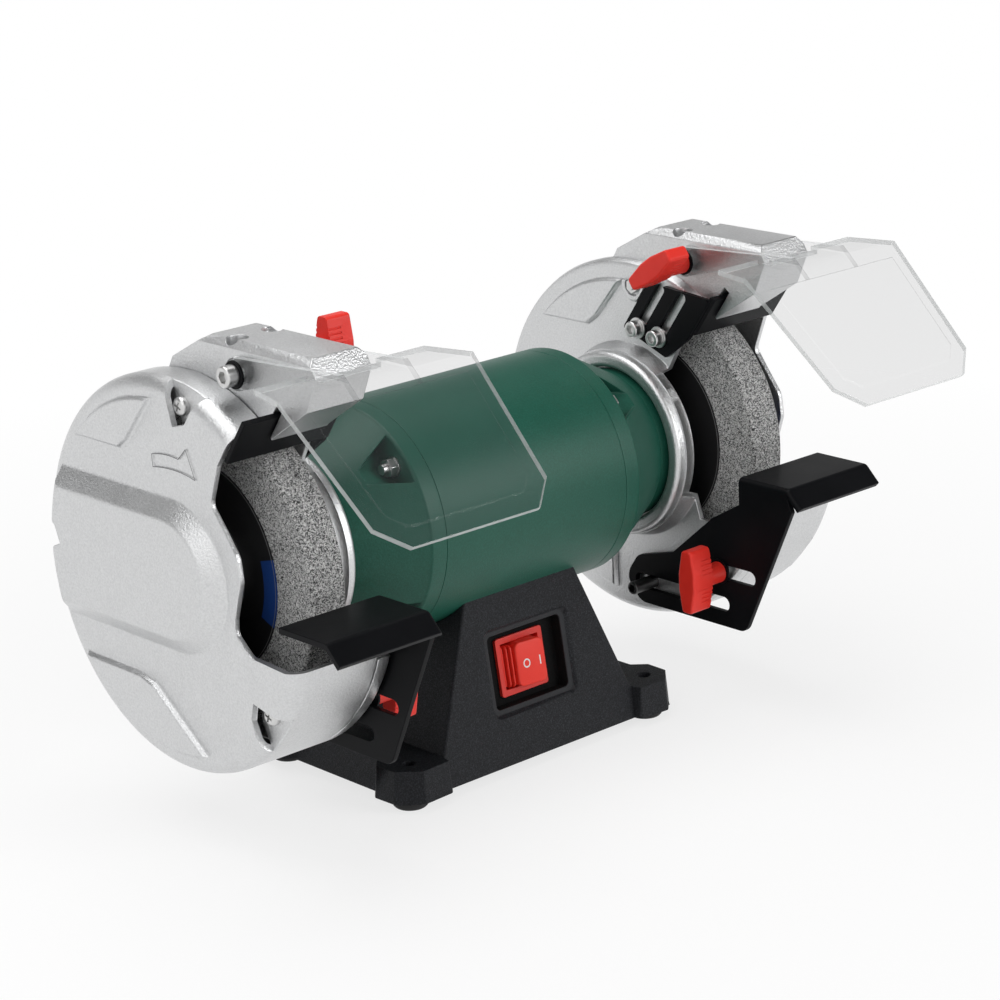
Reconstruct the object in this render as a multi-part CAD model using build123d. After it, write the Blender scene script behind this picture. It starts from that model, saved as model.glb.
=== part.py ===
from build123d import *
import math
import os

# Bench grinder with two 150 mm wheels. Millimetres.
# +X runs along the spindle to the right, -Y is the operator's side and +Z is up.
# The origin is the centre of the four bench bolts, on the bench surface.
# Everything on the spindle is drawn about the X axis and lifted to its height when it is written.
# Paired pieces are drawn for the right-hand end (+X) and mirrored to make the left-hand end.

# ---- Driving sizes -------------------------------------------------------------------------------

shaft_height = 130.0            # bench surface to spindle axis
running_gap = 0.2               # between flat faces that move past each other
fit_gap = 0.03                  # radial, between a turning shaft and its bore

# Wheels and what clamps them
wheel_diameter = 150.0
wheel_width = 20.0
wheel_bore = 20.0
wheel_spacing = 290.0           # between the middle planes of the two wheels
wheel_edge_chamfer = 1.0
label_diameter = 101.0
label_thickness = 0.6
flange_diameter = 52.0
flange_thickness = 5.0
flange_relief_diameter = 38.0
flange_relief_depth = 1.0
spigot_length = 9.0
spindle_diameter = 16.0
spindle_nut_across_flats = 24.0
spindle_nut_height = 11.0
spindle_end_length = 3.0        # thread that stands out of the nut

# Shaft, rotor and bearings
bearing_bore = 17.0
bearing_diameter = 40.0
bearing_width = 12.0
bearing_inset = 9.0             # bearing face to the guard's seat on the end bell
shaft_diameter = 24.0
core_length = 50.0
rotor_diameter = 59.0
air_gap = 0.5
rotor_ring_length = 8.0
rotor_fin_length = 7.0
rotor_fin_thickness = 2.0
rotor_fin_count = 8

# Motor housing
motor_diameter = 116.8
tube_wall = 3.0
tube_length = 119.0
bell_band = 9.5                 # cylindrical band next to the seam
bell_step = 1.2                 # small step from the band to the cone
bell_wall = 4.0
neck_diameter = 79.0
neck_length = 11.0
spigot_depth = 3.5              # end bell's rim inside the tube
winding_length = 17.0
winding_thickness = 14.0
tie_bolt_circle = 98.0
tie_bolt_diameter = 5.0
tie_nut_across_flats = 8.0
tie_nut_height = 4.0
tie_washer_diameter = 9.5
tie_washer_thickness = 1.0
pocket_width = 27.0
pocket_length = 25.0
pocket_depth = 15.2

# Wheel guards
guard_diameter = 189.0
guard_wall = 3.0
guard_edge_radius = 8.0
flange_clearance = 5.4          # inner flange to the housing's plate
nut_clearance = 1.7             # shaft end to the cover
housing_rim_width = 9.4
housing_edge_radius = 4.0
dish_depth = 9.0                # the housing's middle lies this much nearer the motor
dish_inner_radius = 49.3
dish_outer_radius = 51.7
seam_gap = 0.6
collar_gap = 1.1                # round the motor's neck
collar_width = 7.9
collar_height = 6.0
pad_height = 2.5
pad_edge_radius = 1.5
band_height = 7.0               # raised rounded band on the cover's face
band_half_width = 37.0
band_flank = 9.0
band_end = -8.0                 # centre of the band's rounded end
band_centre = 2.8
band_edge_radius = 4.0
band_root_radius = 3.0
guard_screw_radius = 84.0
guard_screw_angles = (80.0, -38.0, 178.0)
guard_screw_diameter = 4.0
guard_screw_head_diameter = 9.0
guard_screw_head_height = 3.4
guard_post_diameter = 10.0
guard_screw_length = 14.0       # of the two that end inside the housing
guard_stud_radius = 82.9        # place of the extra stud and nut behind the spark arrestor
guard_stud_angle = 85.4
guard_stud_length = 5.0
guard_nut_across_flats = 7.0
guard_nut_height = 3.2
nut_pocket_radius = 5.3
nut_pocket_wall = 3.2
screw_pocket_depth = 6.0
housing_screw_circle = 58.0
housing_screw_diameter = 5.0
housing_screw_count = 4
slot_end_angle = 128.0          # rear end of the gap between the two rims

# Block on top of each guard, which carries the eye shield
block_width = 32.0
block_offset = 2.5              # towards the motor from the wheel's middle plane
block_top = 112.4               # above the spindle
block_chamfer = 3.5
block_hole_diameter = 10.0
block_hole_spacing = 20.0
block_hole_depth = 8.0
block_hole_y = -30.0

# Eye shield
pivot_y = -39.3
pivot_height = 98.8             # above the spindle
shield_sheet = 2.5
shield_arm = 3.0
shield_boss_diameter = 15.4
shield_bend_y = -114.0
shield_level = 106.5            # top of the level panel, above the spindle
shield_rear_y = -89.5
shield_slope = 42.6             # degrees below level
shield_half_width = 54.5
shield_rear_half_width = 48.0
shield_side_half_width = 49.0
shield_foot_half_width = 36.0
shield_side_length = 68.6
shield_length = 81.4
shield_rim = 9.0
shield_rim_step = 0.8
shield_bolt_diameter = 6.0
bolt_head_diameter = 10.0
bolt_head_height = 6.0
bolt_socket = 5.0
washer_diameter = 13.0
washer_thickness = 1.2

# Wing knobs
knob_stem_diameter = 11.0
knob_stem_length = 10.0
knob_grip_length = 33.0
knob_grip_width = 11.0
knob_grip_depth = 14.0
knob_tip_width = 6.5
knob_rib_count = 4
shield_knob_angle = 35.0        # degrees, of the right knob's grip above level

# Spark arrestor
arrestor_angle = 54.5           # degrees above level, of its front plate
arrestor_sheet = 2.5
arrestor_bend_radius = 2.4
arrestor_reach = 25.0           # radial length of the front plate
arrestor_wheel_gap = 4.5
arrestor_slot_width = 5.6
arrestor_slot_length = 35.0
arrestor_slot_stagger = 6.5      # the front slot lies this much further out
arrestor_slot_spacing = 13.5
arrestor_screw_diameter = 5.0
arrestor_head_diameter = 8.5
arrestor_head_height = 5.0
arrestor_washer_diameter = 11.0
arrestor_washer_thickness = 1.0

# Tool rest
rest_sheet = 3.0
rest_bend_radius = 3.5
rest_width = 60.0
rest_wheel_gap = 4.0            # rest's edge to the wheel
rest_depth = 33.0
rest_level = -5.8               # top of the rest, from the spindle
rest_lip = 12.0
rest_lip_angle = 45.0
rest_slot_width = 7.6
rest_upper_slot_z = -58.0
rest_lower_slot_z = -75.5
rest_bolt_y = -65.7
rest_pin_y = -14.3
rest_travel_out = 6.0
rest_travel_in = 20.0           # as the wheel wears down
rest_bolt_diameter = 6.0
rest_pin_diameter = 7.0
rest_pin_length = 13.0

# Base
base_clearance = 5.0            # bench to the underside
skirt_height = 16.5
skirt_half_length = 88.5
skirt_half_width = 56.0
pedestal_half_length = 63.7
pedestal_top_half_length = 37.2
pedestal_top_half_width = 42.5
pedestal_top = 89.4
base_wall = 4.0
draft_shrink = 2.5
bench_bolt_x = 160.0
bench_bolt_y = 93.0
bench_bolt_hole = 6.6
ear_height = 16.5
foot_diameter = 17.4
foot_spigot_diameter = 11.0
foot_spigot_length = 4.0
base_edge_radius = 1.5
mount_screw_diameter = 6.0
mount_screw_spacing = 50.0
bottom_plate_thickness = 1.5
plate_screw_diameter = 4.0

# Switch recess in the sloping front, and the switch
recess_centre_z = 51.0
recess_width = 57.0
recess_height = 45.5
recess_border = 4.3
recess_step = 2.2
recess_depth = 9.0
recess_wall = 3.0
bezel_width = 31.0
bezel_height = 29.5
bezel_thickness = 2.0
switch_body_width = 27.0
switch_body_height = 25.5
switch_body_depth = 24.0
rocker_width = 24.4
rocker_height = 22.5
rocker_tilt = 8.0               # degrees each side of level
rocker_side_angle = 34.0        # how far its round sides run up from the axle
rocker_dip = 1.2                # of the middle of its face
switch_well = 7.5
terminal_width = 6.3
blade_length = 8.0

# Parts inside the base and the cable inlet
capacitor_diameter = 30.0
capacitor_length = 62.0
clamp_width = 14.0
clamp_thickness = 1.2
terminal_block_size = (34.0, 18.0, 14.0)
gland_diameter = 20.0
gland_bore = 7.5
gland_length = 12.0
gland_x = 0.0
gland_z = 30.0

# ---- Sizes worked out from them ------------------------------------------------------------------

wheel_radius = wheel_diameter / 2
wheel_mid = wheel_spacing / 2
wheel_in = wheel_mid - wheel_width / 2
wheel_out = wheel_mid + wheel_width / 2
flange_in = wheel_in - label_thickness
flange_out = wheel_out + label_thickness
nut_face = flange_out + flange_thickness
shaft_end = nut_face + spindle_nut_height + spindle_end_length
housing_face = flange_in - flange_thickness - flange_clearance - guard_wall
plate_in = housing_face + guard_wall
rim_end = housing_face + housing_rim_width
cover_face = shaft_end + nut_clearance + guard_wall
guard_radius = guard_diameter / 2
rim_inner = guard_radius - guard_wall
neck_radius = neck_diameter / 2
collar_inner = neck_radius + collar_gap
collar_radius = collar_inner + collar_width
tube_end = tube_length / 2
motor_radius = motor_diameter / 2
tube_inner = motor_radius - tube_wall
band_edge = tube_end + bell_band
seat_face = housing_face - dish_depth           # the guard's seat on the end bell
cone_end = seat_face - neck_length
bearing_out = seat_face - bearing_inset
bearing_in = bearing_out - bearing_width
block_mid = wheel_mid - block_offset
block_in = block_mid - block_width / 2
block_out = block_mid + block_width / 2
sheet_face = housing_face - running_gap         # plates of rest and arrestor face the housing here
bolt_circle_radius = tie_bolt_circle / 2
rest_back_y = -(wheel_radius + rest_wheel_gap)
rest_front_y = rest_back_y - rest_depth

parts = {}


# ---- Helpers -------------------------------------------------------------------------------------

def polar(radius, degrees):
    """Point (y, z) at an angle above level, measured from the operator's side."""
    angle = math.radians(degrees)
    return (-radius * math.cos(angle), radius * math.sin(angle))


def rod(radius, start, end, y=0.0, z=0.0):
    """Cylinder along X."""
    low = (Align.CENTER, Align.CENTER, Align.MIN)
    return Pos(start, y, z) * Rot(0, 90, 0) * Cylinder(radius, end - start, align=low)


def ring(outer, inner, start, end, y=0.0, z=0.0):
    """Tube along X."""
    return rod(outer, start, end, y, z) - rod(inner, start - 1, end + 1, y, z)


def slab(points, start, end, radius=0.0):
    """Flat piece with an outline of (y, z) points, from one X to another."""
    line = FilletPolyline(*points, radius=radius, close=True)
    return Pos(start, 0, 0) * extrude(Plane.YZ * make_face(line), amount=end - start)


def turned(points):
    """Solid of revolution about X from (x, radius) points."""
    return revolve(make_face(Polyline(*points, close=True)), Axis.X)


def slot_bar(width, first, last, start, end):
    """Bar with round ends along a line of (y, z), to cut a slot."""
    span = math.dist(first, last)
    turn = math.degrees(math.atan2(last[1] - first[1], last[0] - first[0]))
    middle = ((first[0] + last[0]) / 2, (first[1] + last[1]) / 2)
    shape = Pos(middle[0], middle[1]) * Rot(0, 0, turn) * SlotCenterToCenter(span, width)
    return Pos(start, 0, 0) * extrude(Plane.YZ * shape, amount=end - start)


def hexagon(across_flats, start, end, y=0.0, z=0.0, turn=0.0):
    """Hexagonal bar along X."""
    shape = Pos(y, z) * Rot(0, 0, turn) * RegularPolygon(across_flats / 2, 6, major_radius=False)
    return Pos(start, 0, 0) * extrude(Plane.YZ * shape, amount=end - start)


def both_ends(name, solid):
    """Write a right-hand piece and its mirror image at the left end."""
    parts["right_" + name] = solid
    parts["left_" + name] = mirror(solid, about=Plane.YZ)


def pair(solid):
    """A group of a right-hand solid and its mirror image."""
    return [solid, mirror(solid, about=Plane.YZ)]


# ---- Wheels, flanges and nuts --------------------------------------------------------------------

wheel = rod(wheel_radius, wheel_in, wheel_out)
wheel = chamfer(wheel.edges().filter_by(GeomType.CIRCLE), wheel_edge_chamfer)
wheel -= rod(wheel_bore / 2, wheel_in - 1, wheel_out + 1)
both_ends("wheel", wheel)

label_bore = wheel_bore / 2 + fit_gap
labels = [
    ring(label_diameter / 2, label_bore, flange_in, wheel_in),
    ring(label_diameter / 2, label_bore, wheel_out, flange_out),
]
both_ends("wheel_labels", labels)

spindle_radius = spindle_diameter / 2
spigot_radius = wheel_bore / 2 - fit_gap
hub_radius = spindle_radius + 4.5
flange_radius = flange_diameter / 2
relief_radius = flange_relief_diameter / 2
inner_flange = turned([
    (bearing_out + running_gap, spindle_radius), (bearing_out + running_gap, hub_radius),
    (flange_in - flange_thickness, hub_radius), (flange_in - flange_thickness, flange_radius - 1),
    (flange_in - flange_thickness + 1, flange_radius), (flange_in, flange_radius),
    (flange_in, relief_radius), (flange_in - flange_relief_depth, relief_radius),
    (flange_in - flange_relief_depth, spigot_radius), (flange_in + spigot_length, spigot_radius),
    (flange_in + spigot_length, spindle_radius),
])
both_ends("inner_flange", inner_flange)

outer_flange = turned([
    (flange_out, relief_radius), (flange_out, flange_radius),
    (nut_face - 2, flange_radius), (nut_face, flange_radius - 6),
    (nut_face, spindle_radius), (flange_out + flange_relief_depth, spindle_radius),
    (flange_out + flange_relief_depth, relief_radius),
])
both_ends("outer_flange", outer_flange)

spindle_nut = hexagon(spindle_nut_across_flats, nut_face, nut_face + spindle_nut_height)
nut_cone = spindle_nut_across_flats / 2 + 0.6
spindle_nut &= turned([
    (nut_face, 0), (nut_face, nut_cone), (nut_face + 1, nut_cone + 1.4),
    (nut_face + spindle_nut_height - 1, nut_cone + 1.4), (nut_face + spindle_nut_height, nut_cone),
    (nut_face + spindle_nut_height, 0),
])
spindle_nut -= rod(spindle_radius, nut_face - 1, nut_face + spindle_nut_height + 1)
both_ends("spindle_nut", spindle_nut)

# ---- Shaft, rotor and bearings -------------------------------------------------------------------

journal_radius = bearing_bore / 2
shaft_radius = shaft_diameter / 2
half_shaft = [
    (0, 0), (0, shaft_radius), (bearing_in - 12, shaft_radius), (bearing_in - 12, shaft_radius - 1),
    (bearing_in - running_gap, shaft_radius - 1), (bearing_in - running_gap, journal_radius),
    (bearing_out + running_gap, journal_radius), (bearing_out + running_gap, spindle_radius),
    (shaft_end - 1, spindle_radius), (shaft_end, spindle_radius - 1), (shaft_end, 0),
]
right_shaft = turned(half_shaft)
parts["shaft"] = right_shaft + mirror(right_shaft, about=Plane.YZ)

rotor_radius = rotor_diameter / 2
parts["rotor_core"] = ring(rotor_radius, shaft_radius, -core_length / 2, core_length / 2)
ring_start = core_length / 2
ring_end = ring_start + rotor_ring_length
end_ring = ring(rotor_radius - 0.5, shaft_radius + 5, ring_start, ring_end)
fin_length = rotor_radius - shaft_radius - 6.5
for k in range(rotor_fin_count):
    fin = Box(rotor_fin_length, rotor_fin_thickness, fin_length)
    fin = Pos(ring_end + rotor_fin_length / 2, 0, shaft_radius + 5.5 + fin_length / 2) * fin
    end_ring += Rot(360 / rotor_fin_count * k, 0, 0) * fin
parts["rotor_end_rings"] = pair(end_ring)

groove_low = journal_radius + 3.2
groove_high = bearing_diameter / 2 - 3.2
bearing = ring(bearing_diameter / 2, journal_radius + fit_gap, bearing_in, bearing_out)
bearing -= ring(groove_high, groove_low, bearing_in - 1, bearing_in + 0.8)
bearing -= ring(groove_high, groove_low, bearing_out - 0.8, bearing_out + 1)
both_ends("bearing", bearing)

# ---- Motor tube, end bells and stator ------------------------------------------------------------

parts["motor_tube"] = ring(motor_radius, tube_inner, -tube_end, tube_end)

bolt_hole = tie_bolt_diameter / 2 + 0.3
bolt_angles = (45.0, 135.0, 225.0, 315.0)
stator = ring(tube_inner, rotor_radius + air_gap, -core_length / 2, core_length / 2)
for angle in bolt_angles:
    y, z = polar(bolt_circle_radius, angle)
    stator -= rod(bolt_hole, -core_length, core_length, y, z)
parts["stator_core"] = stator

winding_inner = rotor_radius + 2.5
winding = ring(winding_inner + winding_thickness, winding_inner, core_length / 2,
               core_length / 2 + winding_length)
winding = fillet(winding.edges().filter_by(GeomType.CIRCLE), 3.0)
parts["stator_windings"] = pair(winding)

cone_start = motor_radius - bell_step
cavity_end = bearing_in - 6
seat_radius = bearing_diameter / 2
through_radius = hub_radius + 2
cavity_radius = tube_inner - 3.5
bell = turned([
    (tube_end - spigot_depth, cavity_radius), (tube_end - spigot_depth, tube_inner - fit_gap),
    (tube_end, tube_inner - fit_gap), (tube_end, motor_radius),
    (band_edge - 0.6, motor_radius), (band_edge, motor_radius - 0.6),
    (band_edge + 0.6, cone_start), (cone_end, neck_radius + 1.5), (cone_end + 2, neck_radius),
    (seat_face, neck_radius), (seat_face, through_radius),
    (bearing_out, through_radius), (bearing_out, seat_radius),
    (cavity_end, seat_radius), (cavity_end, neck_radius - bell_wall - 2),
    (band_edge - bell_wall, bolt_circle_radius - 5), (band_edge - bell_wall - 3, cavity_radius),
])
pocket_face = band_edge + 0.8
pocket_floor = motor_radius - pocket_depth
for angle in bolt_angles:
    y, z = polar(bolt_circle_radius, angle)
    bell -= rod(bolt_hole, tube_end, pocket_face + 5, y, z)
    wide = Plane.YZ.offset(pocket_face) * Pos(0, pocket_floor + 15) * Rectangle(pocket_width, 30)
    tip_level = pocket_floor + 5.5
    narrow = Plane.YZ.offset(pocket_face + pocket_length) * Pos(0, tip_level + 10) * Rectangle(1, 20)
    bell -= Rot(angle - 90, 0, 0) * mirror(loft([wide, narrow]), about=Plane.XZ)
screw_circle = housing_screw_circle / 2
for k in range(housing_screw_count):
    y, z = polar(screw_circle, 45 + 360 / housing_screw_count * k)
    bell -= rod(housing_screw_diameter / 2, seat_face - 12, seat_face + 1, y, z)
both_ends("end_bell", bell)

washer_wave = ring(seat_radius - 0.5, journal_radius + 6, bearing_in - 1.5, bearing_in)
parts["preload_washer"] = washer_wave

bolt_head_face = -(pocket_face + tie_washer_thickness)
tie_bolts = []
tie_nuts = []
tie_washers = []
for angle in bolt_angles:
    y, z = polar(bolt_circle_radius, angle)
    shank = rod(tie_bolt_diameter / 2, bolt_head_face - tie_nut_height - 3, -bolt_head_face, y, z)
    head = hexagon(tie_nut_across_flats, -bolt_head_face, -bolt_head_face + tie_nut_height, y, z, angle)
    tie_bolts.append(shank + head)
    nut = hexagon(tie_nut_across_flats, bolt_head_face - tie_nut_height, bolt_head_face, y, z, angle)
    tie_nuts.append(nut - rod(tie_bolt_diameter / 2, bolt_head_face - 9, bolt_head_face + 1, y, z))
    for start in (bolt_head_face, pocket_face):
        tie_washers.append(ring(tie_washer_diameter / 2, tie_bolt_diameter / 2,
                                start, start + tie_washer_thickness, y, z))
parts["tie_bolts"] = tie_bolts
parts["tie_bolt_nuts"] = tie_nuts
parts["tie_bolt_washers"] = tie_washers

# ---- Wheel guards --------------------------------------------------------------------------------

# Opening of the inner housing: a line behind the spark arrestor, an arc round the collar, and a sill.
arc_top = 55.0
arc_low = -24.0
far = guard_radius + 20
sill = [polar(collar_radius, arc_low), polar(60.0, -35.0), polar(71.0, -29.5), polar(far, -14.5)]
housing_opening_line = [
    Line(polar(far, arc_top + 3.5), polar(collar_radius, arc_top)),
    ThreePointArc(polar(collar_radius, arc_top), polar(collar_radius, 10.0), sill[0]),
    Polyline(*sill),
    Line(sill[-1], (-far, far)),
    Line((-far, far), polar(far, arc_top + 3.5)),
]
housing_opening = extrude(Plane.YZ * make_face(housing_opening_line), amount=50)

# Raised pads on both castings: a wedge at the upper rear and a sloping field at the bottom.
pad_radius = guard_radius - guard_edge_radius - 1.5
wedge = slab([(-7.2, 95.0), (21.0, 62.0), (28.0, 57.0), (100.0, 57.0), (100.0, 95.0)], 0, 1, 0)
low_field = slab([(100.0, -51.0), (24.0, -51.5), (14.0, -54.0), (-32.0, -88.0), (-32.0, -100.0),
                  (100.0, -100.0)], 0, 1, 0)


def raised(base, start, height):
    """A pad of a given height whose sides slope, inside the guard's edge."""
    face = (Pos(start, 0, 0) * base).faces().sort_by(Axis.X)[0]
    disc = Pos(start, 0, 0) * (Plane.YZ * Circle(pad_radius))
    field = (disc & face).faces()[0]
    pad = extrude(field, amount=abs(height), dir=(1 if height > 0 else -1, 0, 0), taper=25)
    return fillet(edges_at(pad, start + height), pad_edge_radius)


def edges_at(solid, level):
    """Edges that lie wholly at one X."""
    def flat(edge):
        box = edge.bounding_box()
        return abs(box.min.X - level) < 0.02 and abs(box.max.X - level) < 0.02
    return solid.edges().filter_by(flat)


def with_root(casting, form, level, radius):
    """Adds a raised form to a casting's face, with a hollow fillet along its straight sides."""
    inner = guard_radius - guard_edge_radius - 0.5
    before = [edge @ 0.5 for edge in edges_at(casting, level)]
    joined = casting + form
    roots = []
    for edge in edges_at(joined, level):
        middle = edge @ 0.5
        old = any((middle - one).length < 1.5 for one in before)
        if not old and edge.length > 5 and math.hypot(middle.Y, middle.Z) < inner - 2.5:
            roots.append(edge)
    return fillet(roots, radius)


# Inner housing: a plate with a dished middle, a rim and a collar round the motor's neck.
flat_radius = guard_radius - housing_edge_radius
dish_in = seat_face + guard_wall
housing = turned([
    (seat_face, through_radius + 1), (seat_face, dish_inner_radius), (housing_face, dish_outer_radius),
    (housing_face, flat_radius), (housing_face + housing_edge_radius * 0.3, guard_radius - 1.2),
    (housing_face + housing_edge_radius, guard_radius), (rim_end, guard_radius), (rim_end, rim_inner),
    (plate_in + 1, rim_inner), (plate_in, rim_inner - 1), (plate_in, dish_outer_radius - 1.7),
    (dish_in, dish_inner_radius - 1.7), (dish_in, through_radius + 1),
])
collar = ring(collar_radius, collar_inner, seat_face - collar_height, seat_face + 1)
collar = fillet(collar.edges().filter_by(GeomType.CIRCLE).group_by(Axis.X)[0], 2.8)
housing += collar
housing -= housing_opening.moved(Location((seat_face + 0.01, 0, 0)))

block = slab([(17.5, 80.0), (17.5, 89.0), (12.0, 98.4), (-15.0, block_top), (-86.0, block_top),
              (-91.0, 104.0), (-84.0, 88.0), (-58.5, 72.0), (-50.0, 60.0)], block_in, block_out)
long_edges = block.edges().filter_by(Axis.Y).group_by(Axis.Z)[-1]
block = chamfer(long_edges, block_chamfer)
block -= rod(rim_inner, block_in - 1, block_out + 1)
for side in (-1, 1):
    hole_x = block_mid + side * block_hole_spacing / 2
    block -= Pos(hole_x, block_hole_y, block_top - block_hole_depth / 2) * Cylinder(
        block_hole_diameter / 2, block_hole_depth + 0.001)
block -= rod(shield_bolt_diameter / 2, block_in - 1, block_out + 1, pivot_y, pivot_height)

arrestor_e = polar(1.0, arrestor_angle)                      # outward, along the arrestor's slots
arrestor_t = (-arrestor_e[1] * -1, -arrestor_e[0])           # towards the rear and the top


def arrestor_point(outward, rearward):
    """Point (y, z) in the arrestor's own directions."""
    return (arrestor_e[0] * outward + arrestor_t[0] * rearward,
            arrestor_e[1] * outward + arrestor_t[1] * rearward)


arrestor_low = wheel_radius + arrestor_wheel_gap
arrestor_high = arrestor_low + arrestor_reach
front_gap = -1.1
block_slot = [arrestor_point(60, front_gap - arrestor_sheet - 0.7),
              arrestor_point(arrestor_high + 4, front_gap - arrestor_sheet - 0.7),
              arrestor_point(arrestor_high + 4, front_gap + 0.7), arrestor_point(60, front_gap + 0.7)]
block -= slab(block_slot, block_in - 1, block_out + 1)
housing += block

# Arms of the eye shield, one each side of the block. They also say where the
# housing and the cover leave room.
arm_gap = 0.4
arm_in = (block_in - arm_gap - shield_arm, block_in - arm_gap)
arm_out = (block_out + arm_gap, block_out + arm_gap + shield_arm)
boss = shield_boss_diameter / 2
slope = math.radians(shield_slope)
gusset_run = 14.0
gusset_rise = 3.5
gusset = (shield_bend_y - gusset_run * math.cos(slope), shield_level - gusset_run * math.sin(slope))
arm_outline = [(pivot_y, pivot_height + boss), (shield_bend_y + 3, shield_level + gusset_rise), gusset,
               (shield_bend_y, shield_level - shield_sheet), (shield_rear_y, shield_level - shield_sheet),
               (pivot_y, pivot_height - boss)]
inner_washer = arm_in[0] - running_gap
washer_room = rod(washer_diameter / 2 + running_gap, inner_washer - washer_thickness - running_gap, arm_in[0],
                  pivot_y, pivot_height)

boss_radius = guard_post_diameter / 2
slot_low = 60.5
screw_rise = 2.0                # from a slot's lower end to its screw
slot_rows = (13.5, 13.5 + arrestor_slot_spacing)
slot_starts = (slot_low, slot_low - arrestor_slot_stagger)
screw_points = [arrestor_point(start + screw_rise, row) for start, row in zip(slot_starts, slot_rows)]
screw_spots = [polar(guard_screw_radius, angle) for angle in guard_screw_angles]
screw_seat = cover_face - screw_pocket_depth
post_end = screw_seat - guard_wall
stud_depth = 8.0
housing += raised(wedge, housing_face, -pad_height)
rear_low_field = slab([(100.0, -51.0), (24.0, -51.5), (17.0, -54.0), (12.0, -62.0), (12.0, -100.0),
                       (100.0, -100.0)], 0, 1, 0)
housing += raised(rear_low_field, housing_face, -pad_height)
for y, z in screw_points:
    housing += rod(boss_radius, plate_in, plate_in + 2, y, z)
    housing -= rod(arrestor_screw_diameter / 2, sheet_face - 1, plate_in + 3, y, z)
through_spot = screw_spots[2]
stud_spot = polar(guard_stud_radius, guard_stud_angle)
arrestor_width = 35.5           # of its side plate, across the slots
plate_room = slab([arrestor_point(0, -20), arrestor_point(far, -20),
                   arrestor_point(far, arrestor_width + 0.5), arrestor_point(0, arrestor_width + 0.5)],
                  housing_face - pad_height - 1, housing_face)
for y, z in (through_spot, stud_spot):
    wall = rod(nut_pocket_radius + nut_pocket_wall, housing_face - pad_height, housing_face, y, z)
    wall = fillet(edges_at(wall, housing_face - pad_height), pad_edge_radius)
    wall &= rod(pad_radius, housing_face - pad_height, housing_face)
    housing += wall - plate_room
    housing -= rod(nut_pocket_radius, housing_face - pad_height - 1, housing_face, y, z)
housing += rod(boss_radius - 1, plate_in, plate_in + 2, *stud_spot)
housing -= rod(guard_screw_diameter / 2, housing_face - 1, housing_face + guard_stud_length, *stud_spot)
for y, z in screw_spots:
    hole_start = housing_face - 1 if (y, z) == through_spot else post_end - guard_screw_length
    housing += rod(boss_radius, plate_in, post_end, y, z)
    housing -= rod(guard_screw_diameter / 2, hole_start, post_end + 1, y, z)
for y, z, hole in ((rest_bolt_y, rest_upper_slot_z, rest_bolt_diameter),
                   (rest_pin_y, rest_lower_slot_z, rest_pin_diameter)):
    housing += rod(boss_radius + 1, plate_in, plate_in + stud_depth - guard_wall + 2, y, z)
    housing -= rod(hole / 2, sheet_face - 1, housing_face + stud_depth, y, z)
for k in range(housing_screw_count):
    y, z = polar(screw_circle, 45 + 360 / housing_screw_count * k)
    housing -= rod(housing_screw_diameter / 2 + 0.3, seat_face - 1, dish_in + 1, y, z)
housing -= washer_room
both_ends("guard_housing", housing)

housing_screws = []
for k in range(housing_screw_count):
    y, z = polar(screw_circle, 45 + 360 / housing_screw_count * k)
    screw = rod(housing_screw_diameter / 2, seat_face - 11, dish_in, y, z)
    screw += hexagon(8.0, dish_in, dish_in + 3.5, y, z)
    housing_screws += pair(screw)
parts["housing_screws"] = housing_screws

# Outer cover: a deep dish with rounded edge.
cover_start = rim_end + seam_gap
dish = rod(guard_radius, cover_start, cover_face)
dish = fillet(dish.edges().filter_by(GeomType.CIRCLE).sort_by(Axis.X)[-1], guard_edge_radius)
hollow = rod(rim_inner, cover_start - 1, cover_face - guard_wall)
hollow = fillet(hollow.edges().filter_by(GeomType.CIRCLE).sort_by(Axis.X)[-1],
                guard_edge_radius - guard_wall)
cover = dish - hollow
cover = with_root(cover, raised(wedge, cover_face, pad_height), cover_face, pad_edge_radius)
cover = with_root(cover, raised(low_field, cover_face, pad_height), cover_face, pad_edge_radius)

band_face = make_face([
    Line((band_end, band_centre + band_half_width), (guard_radius, band_centre + band_half_width)),
    Line((guard_radius, band_centre + band_half_width), (guard_radius, band_centre - band_half_width)),
    Line((guard_radius, band_centre - band_half_width), (band_end, band_centre - band_half_width)),
    ThreePointArc((band_end, band_centre - band_half_width),
                  (band_end - band_half_width, band_centre),
                  (band_end, band_centre + band_half_width)),
])
band_taper = math.degrees(math.atan(band_flank / band_height))
band_sketch = Plane.YZ.offset(cover_face) * band_face
band_solid = extrude(band_sketch, amount=band_height, taper=band_taper)
band_solid = fillet(edges_at(band_solid, cover_face + band_height), band_edge_radius)
edge_start = guard_radius - guard_edge_radius
band_solid &= turned([
    (cover_face - 1, 0), (cover_face - 1, edge_start), (cover_face + 0.5, edge_start),
    (cover_face + band_height * 0.6, edge_start - 2), (cover_face + band_height, edge_start - 6),
    (cover_face + band_height, 0),
])
cover = with_root(cover, band_solid, cover_face, band_root_radius)

cover_opening = slab([arrestor_point(far, -0.5), arrestor_point(76.0, -0.5), (-37.3, 42.1), (-44.5, 33.5),
                      (-54.2, 20.9), (-55.6, 9.4), (-49.8, -9.0), (-49.3, -15.7), (-59.5, -24.5),
                      (-83.2, -26.0), (-far, -23.5), (-far, far)],
                     cover_start - 1, cover_face + band_height + 3,
                     [0, 4, 5, 5, 9, 9, 7, 5, 8, 9, 0, 0])
cover -= cover_opening

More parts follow.
